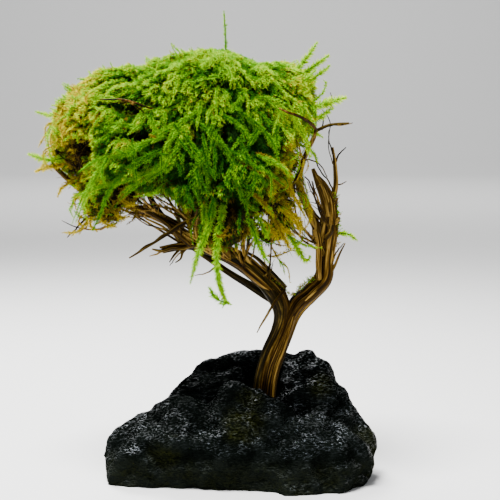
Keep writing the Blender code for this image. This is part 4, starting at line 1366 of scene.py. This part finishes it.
class MOSSTREE_OT_moss(Operator):
    """Makes the mat, fuzz and strands of the moss crown"""

    bl_idname = "moss_tree.moss"
    bl_label = "Moss"

    def execute(self, context):
        settings = context.scene.moss_tree_moss
        rng = np.random.default_rng(settings.seed)
        mesh = ball_core("moss_canopy", "moss_mat", settings.thinnest, settings.inset)
        core = MossBed(mesh)
        mat = self.mat(mesh, settings)
        finish = frond_material(settings)
        self.fuzz(mat, settings, finish, rng)
        self.sprigs(mat, settings, finish, rng)
        self.strands(core, settings, finish, rng)
        self.underside(core, settings, finish, rng)
        self.long_strands(finish, rng)
        return {"FINISHED"}

    def mat(self, mesh, settings):
        """The lumpy tangle that the moss grows from, with ridges and pockets."""
        bm = bmesh.new()
        bm.from_mesh(mesh)
        bmesh.ops.subdivide_edges(bm, edges=bm.edges, cuts=1, use_grid_fill=True, smooth=0.3)
        bm.to_mesh(mesh)
        bm.free()
        places, normals = mesh_places(mesh), mesh_normals(mesh)
        self.ridge = 0.3 * moss_ridges(places) + 0.7 * moss_streaks(places, 3.6, 12.0, 23.0, steps=9)
        self.pocket = pocket_depth(places)
        lumps = 1.2 * noise_at(places / 14.0) + 0.5 * noise_at(places / 1.9)
        lift = settings.ridges * (self.ridge - 0.5) + lumps
        lift -= settings.pockets * self.pocket + settings.hollow * lower_right(places)
        set_places(mesh, places + normals * lift[:, None])
        mesh.shade_smooth()
        write_attribute(mesh, "deadness", np.clip(dead_share(places) + 0.8 * self.pocket, 0, 1))
        mat = finished_object("moss_mat", mesh, mat_material())
        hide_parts("moss_canopy")
        return MossBed(mesh)

    def fuzz(self, mat, settings, finish, rng):
        """Small leaves all over the mat, which make it velvety."""
        cover = 1 - 0.88 * self.pocket
        _, y, z = mat.middles.T
        share = cover[mat.corners].mean(1) * (0.55 + 0.45 * smooth_step(-0.6, 0.1, mat.facing[:, 2]))
        share *= (0.45 + 0.55 * smooth_step(108, 120, z)) * np.where(y < -6, 1.35, 1.0)
        roots, normals, ridge, pocket = mat.scatter(settings.fuzz, share, rng, (self.ridge, self.pocket))
        streak = moss_streaks(roots, 1.6, 5.0, 57.0)
        steep = 1 - 0.45 * smooth_step(0.3, 0.9, normals[:, 2])
        # Lighter on the crests of the ridges and streaks as painted highlight, and darker in the pockets as
        # painted shade.
        tones = moss_tone(roots) + 1.0 * (ridge - 0.47) + 0.5 * (streak - 0.5) * steep - 0.5 * pocket
        tones += rng.normal(0, 0.06, len(roots))
        dead = np.clip(dead_share(roots) + 0.6 * pocket, 0, 0.95)
        lengths = rng.uniform(0.6, 1.5, len(roots)) * (0.7 + 0.6 * streak)
        aims = normals * 0.45 + moss_flow(roots) * 0.85 + rng.normal(0, 0.32, roots.shape)
        lift = rng.uniform(-0.3, 0.4, len(roots)) + 1.3 * streak * steep
        roots = roots + normals * lift[:, None]
        part = np.digitize(roots[:, 1], FUZZ_SPLITS)
        for k, name in enumerate(FUZZ_PIECES):
            here = part == k
            batch = MossBatch(name)
            reach = lengths[here]
            batch.add_blades(roots[here], aims[here], reach, reach * 0.27, tones[here], dead[here], rng)
            batch.make(finish)

    def sprigs(self, mat, settings, finish, rng):
        """Short sprigs that stand up from the top, and out at the left edge."""
        count = settings.sprigs
        open_top = smooth_step(-0.1, 0.6, mat.facing[:, 2]) + 1.6 * smooth_step(-58, -72, mat.middles[:, 0])
        share = open_top * (1 - 0.95 * pocket_depth(mat.middles))
        roots, normals, ridge = mat.scatter(count, share, rng, (self.ridge,))
        edge = smooth_step(-54, -68, roots[:, 0])
        aims = normals * (0.35 + 0.9 * edge)[:, None] + moss_flow(roots) * 0.8
        aims += rng.normal(0, 0.35, roots.shape)
        tall = rng.random(count) < TALL_SPRIGS
        aims += normals * (1.6 * tall)[:, None]
        lengths = rng.uniform(1.8, 3.8, count) + rng.uniform(0.4, 3.0, count) * np.maximum(tall, 0.5 * edge)
        paths = grow_paths(roots, aims, lengths, 5, 0.0, 0.08, rng)
        batch = MossBatch("moss_sprigs")
        radii = rng.uniform(0.5, 0.85, count) + 0.3 * np.maximum(tall, edge)
        # Lighter on the crests of the ridges as painted highlight; the tall sprigs are a little lighter.
        tones = moss_tone(roots) + 0.45 * ridge - 0.12 + 0.12 * tall
        batch.add_strands(paths, radii, tones, dead_share(roots) * 0.7 * ~tall, rng, per_mm=17, stem=0.14)
        batch.make(finish)

    def strands(self, core, settings, finish, rng):
        """Strands that run down over the sides, and the placed ones over the front."""
        count = settings.strands
        level = core.facing[:, 2]
        share = smooth_step(0.85, 0.4, level) * smooth_step(-0.7, -0.3, level)
        roots, _ = core.scatter(count, share, rng)
        lift = rng.uniform(0.8, 2.6, count)
        aims = moss_flow(roots) + rng.normal(0, 0.32, roots.shape)
        lengths = rng.uniform(7, 19, count)
        starts = core.above(roots, lift - 2.0, lift)
        paths = grow_paths(starts, aims, lengths, 11, 0.04, 0.045, rng, core, lift, lift + 1.2)
        # Strands held higher above the mat are lighter: painted light for the shade that lies deeper in the
        # moss.
        tones = moss_tone(paths[:, 3]) + 0.20 + 0.06 * (lift - 1.7) + rng.normal(0, 0.08, count)
        dead = np.maximum(dead_share(paths[:, 5]) - 0.2, 0)
        radii = rng.uniform(0.7, 1.25, count) * (1 - 0.35 * lower_right(paths[:, 5]))
        clear = pocket_depth(paths[:, 3]) + pocket_depth(paths[:, 8]) < 0.5
        front = roots[:, 1] < FRONT_DEPTH
        for name, side in (("moss_strands_front", front), ("moss_strands_back", ~front)):
            chosen = clear & side
            batch = MossBatch(name)
            sorts = radii[chosen], tones[chosen], dead[chosen]
            batch.add_strands(paths[chosen], *sorts, rng, per_mm=21, slim=0.22)
            if name == "moss_strands_front":
                self.placed_strands(core, batch, rng)
            batch.make(finish)

    def placed_strands(self, core, batch, rng):
        """The bright strands over the front, each made twice with a little shift, and their side shoots."""
        placed = np.array([resampled(core.front(route, 2.4), 20) for route in FRONT_STRANDS])
        bright = 0.26 + moss_tone(placed[:, 8]) + rng.normal(0, 0.05, len(placed))
        beyond = placed[:, 12]
        dead = dead_share(beyond) * 0.5 * (beyond[:, 0] > 0)
        for shift in (0.0, 1.5):
            moved = placed + rng.normal(0, shift, (len(placed), 1, 3)) * (0.5, 0.3, 0.5)
            radius, tones = 1.55 - 0.3 * shift, bright - 0.06 * shift
            batch.add_strands(moved, radius, tones, dead, rng, per_mm=30, slim=0.2)
        owner, place, shoots = side_shoots(
            placed, len(placed) * 7, (0.8, 0.5), (2.5, 6.0), 5, 0.02, 0.05, rng, taper=1.2
        )
        batch.add_strands(shoots, 1.0, bright[owner], dead_share(place) * 0.5, rng, per_mm=16, stem=0.14)

    def underside(self, core, settings, finish, rng):
        """Thin, mostly dead strands below."""
        roots, normals = core.scatter(settings.under, smooth_step(-0.1, -0.6, core.facing[:, 2]), rng)
        aims = normals * 0.6 + rng.normal(0, 0.7, roots.shape)
        lengths = rng.uniform(4, 10, len(roots))
        paths = grow_paths(roots, aims, lengths, 6, 0.05, 0.12, rng)
        batch = MossBatch("moss_underside")
        radii = rng.uniform(0.4, 0.8, len(roots))
        tones = 0.8 * moss_tone(roots) + 0.12
        batch.add_strands(paths, radii, tones, 0.75, rng, per_mm=6, stem=0.14)
        batch.make(finish)

    def long_strands(self, finish, rng):
        """The strands that stand or hang clear, with side shoots, and the rows of small tufts."""
        batch = MossBatch("moss_long_strands")
        for width, dead, points in LONG_STRANDS.values():
            path = resampled(points, STRAND_RINGS)
            length = np.linalg.norm(np.diff(path, axis=0), axis=1).sum()
            # Strands far to the right and left are lighter: painted fill light that lifts the side strands
            # out of the crown's shade.
            tone = 0.7 + 0.2 * dead + 0.25 * smooth_step(24, 42, abs(path[0, 0] + 25))
            batch.add_strands(path[None], width, tone, dead, rng, per_mm=36, stem=0.24, slim=0.22)
            count = max(3, int(length / SHOOT_GAP))
            _, _, shoots = side_shoots(
                path[None], count, (0.7, 0.7), (2.0, 4.0), 4, 0.02, 0.05, rng, onward=1.1, taper=1.15
            )
            batch.add_strands(shoots, 0.8, tone, dead, rng, per_mm=14, stem=0.12)
        few = TUFTS_IN_ROW
        for reach, dead, points in TUFT_ROWS:
            path = resampled(points, STRAND_RINGS)
            _, _, place, along, _, _ = along_paths(path[None], few, rng)
            aims = along * rng.normal(0, 0.6, (few, 1)) + rng.normal(0, 0.5, (few, 3)) - DOWN * 0.5
            tufts = grow_paths(place, aims, reach * rng.uniform(0.27, 1.0, few), 3, 0.0, 0.1, rng)
            batch.add_strands(tufts, 0.6, 0.75, dead, rng, per_mm=12, stem=0.1)
        tuft = batch.make(finish)
        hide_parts("side_moss_tuft")


# Stage


CAMERA_AIM = (3.7, 0, 94)
SENSOR_WIDTH = 36
# The place in metres that the lights on the tree point at
TREE_MIDDLE = (0, 0, 0.12)
# Square lights: place, target and size in metres, and power in watts
LIGHTS = {
    "key": ((-0.16, -0.22, 0.78), TREE_MIDDLE, 0.28, 24.0),
    "fill": ((0.5, -0.8, 0.35), TREE_MIDDLE, 0.7, 3.0),
    "rim": ((-0.2, 0.42, 0.62), TREE_MIDDLE, 0.35, 13.0),
    "backdrop": ((0, 1.6, 1.8), (0, 3.6, 0.5), 1.5, 70.0),
}
# The floor in metres: half its width, the radius and steps of the curve at its back, and the wall's height
FLOOR_HALF = 3.0
BACKDROP_CURVE, CURVE_STEPS = 1.2, 8
BACKDROP_HEIGHT = 4.0


class StageSettings(PropertyGroup):
    elevation: FloatProperty(
        name="Elevation", description="Camera height", default=math.radians(5.5), subtype="ANGLE"
    )
    distance: FloatProperty(name="Distance", description="Camera distance", default=0.5694, unit="LENGTH")
    lens: FloatProperty(name="Lens", description="Focal length in mm", default=100.0, unit="CAMERA")
    floor_colour: colour_property("Floor", "Colour of the floor", (0.72, 0.72, 0.71))
    air_colour: colour_property("Room Light", "Colour of the light from all round", (0.9, 0.93, 1.0))
    air_strength: FloatProperty(name="Room Strength", description="How strong that is", default=0.2, min=0)


def turned_to(place, target):
    """The rotation of a lamp or camera that looks from its place to a target."""
    return (Vector(target) - Vector(place)).to_track_quat("-Z", "Y").to_euler()


def area_light(name, place, target, size, power):
    """A square light that points at its target."""
    data = bpy.data.lights.new(name, "AREA")
    data.shape = "SQUARE"
    data.size = size
    data.energy = power
    lamp = bpy.data.objects.new(name, data)
    lamp.location = place
    lamp.rotation_euler = turned_to(place, target)
    bpy.context.scene.collection.objects.link(lamp)


def studio_floor(colour):
    """A pale floor that curves up into a backdrop."""
    bm = bmesh.new()
    bmesh.ops.create_grid(bm, x_segments=1, y_segments=1, size=FLOOR_HALF)
    edge = [e for e in bm.edges if all(v.co.y > 0.9 * FLOOR_HALF for v in e.verts)]
    turns = [math.radians(90) * k / CURVE_STEPS for k in range(CURVE_STEPS + 1)]
    outline = [Vector((0, math.sin(turn), 1 - math.cos(turn))) * BACKDROP_CURVE for turn in turns]
    outline.append(outline[-1] + Vector((0, 0, BACKDROP_HEIGHT)))
    for here, there in zip(outline, outline[1:]):
        grown = bmesh.ops.extrude_edge_only(bm, edges=edge)["geom"]
        edge = [g for g in grown if isinstance(g, bmesh.types.BMEdge)]
        corners = [g for g in grown if isinstance(g, bmesh.types.BMVert)]
        bmesh.ops.translate(bm, vec=there - here, verts=corners)
    bmesh.ops.recalc_face_normals(bm, faces=bm.faces)
    mesh = bpy.data.meshes.new("floor")
    bm.to_mesh(mesh)
    bm.free()
    mesh.shade_smooth()
    mesh.materials.append(plain_material("pale_floor", colour, 0.8))
    floor = bpy.data.objects.new("floor", mesh)
    bpy.context.scene.collection.objects.link(floor)


class MOSSTREE_OT_stage(Operator):
    """Sets up the floor, the lights and the camera"""

    bl_idname = "moss_tree.stage"
    bl_label = "Studio"

    def execute(self, context):
        settings = context.scene.moss_tree_stage
        scene = context.scene
        studio_floor(settings.floor_colour)
        for name, light in LIGHTS.items():
            area_light(name, *light)
        world = bpy.data.worlds.new("studio_light")
        world.use_nodes = True
        air = world.node_tree.nodes["Background"].inputs
        air["Color"].default_value = (*settings.air_colour, 1.0)
        air["Strength"].default_value = settings.air_strength
        scene.world = world
        aim = Vector(CAMERA_AIM) * MM
        away = Vector((0, -math.cos(settings.elevation), math.sin(settings.elevation)))
        place = aim + away * settings.distance
        data = bpy.data.cameras.new("camera")
        data.lens = settings.lens
        data.sensor_width = SENSOR_WIDTH
        data.clip_start = 0.01
        data.clip_end = 20
        camera = bpy.data.objects.new("camera", data)
        camera.location = place
        camera.rotation_euler = turned_to(place, aim)
        scene.collection.objects.link(camera)
        scene.camera = camera
        return {"FINISHED"}


# Panel and registration


class MOSSTREE_PT_panel(Panel):
    """Lists the pieces of the moss tree"""

    bl_label = "Moss Tree"
    bl_idname = "MOSSTREE_PT_panel"
    bl_space_type = "VIEW_3D"
    bl_region_type = "UI"
    bl_category = "Moss Tree"

    def draw(self, context):
        for step in STEPS:
            self.layout.operator(step.bl_idname)


STEPS = (MOSSTREE_OT_stone, MOSSTREE_OT_driftwood, MOSSTREE_OT_twigs, MOSSTREE_OT_moss, MOSSTREE_OT_stage)
GROUPS = {
    "moss_tree_stone": StoneSettings,
    "moss_tree_wood": WoodSettings,
    "moss_tree_moss": MossSettings,
    "moss_tree_stage": StageSettings,
}


def register():
    for group in GROUPS.values():
        bpy.utils.register_class(group)
    for name, group in GROUPS.items():
        setattr(bpy.types.Scene, name, PointerProperty(type=group))
    for step in STEPS:
        bpy.utils.register_class(step)
    bpy.utils.register_class(MOSSTREE_PT_panel)


def unregister():
    bpy.utils.unregister_class(MOSSTREE_PT_panel)
    for step in reversed(STEPS):
        bpy.utils.unregister_class(step)
    for name in GROUPS:
        delattr(bpy.types.Scene, name)
    for group in reversed(list(GROUPS.values())):
        bpy.utils.unregister_class(group)


def main():
    register()
    bpy.ops.moss_tree.stone()
    bpy.ops.moss_tree.driftwood()
    bpy.ops.moss_tree.twigs()
    bpy.ops.moss_tree.moss()
    bpy.ops.moss_tree.stage()


if __name__ == "__main__":
    main()
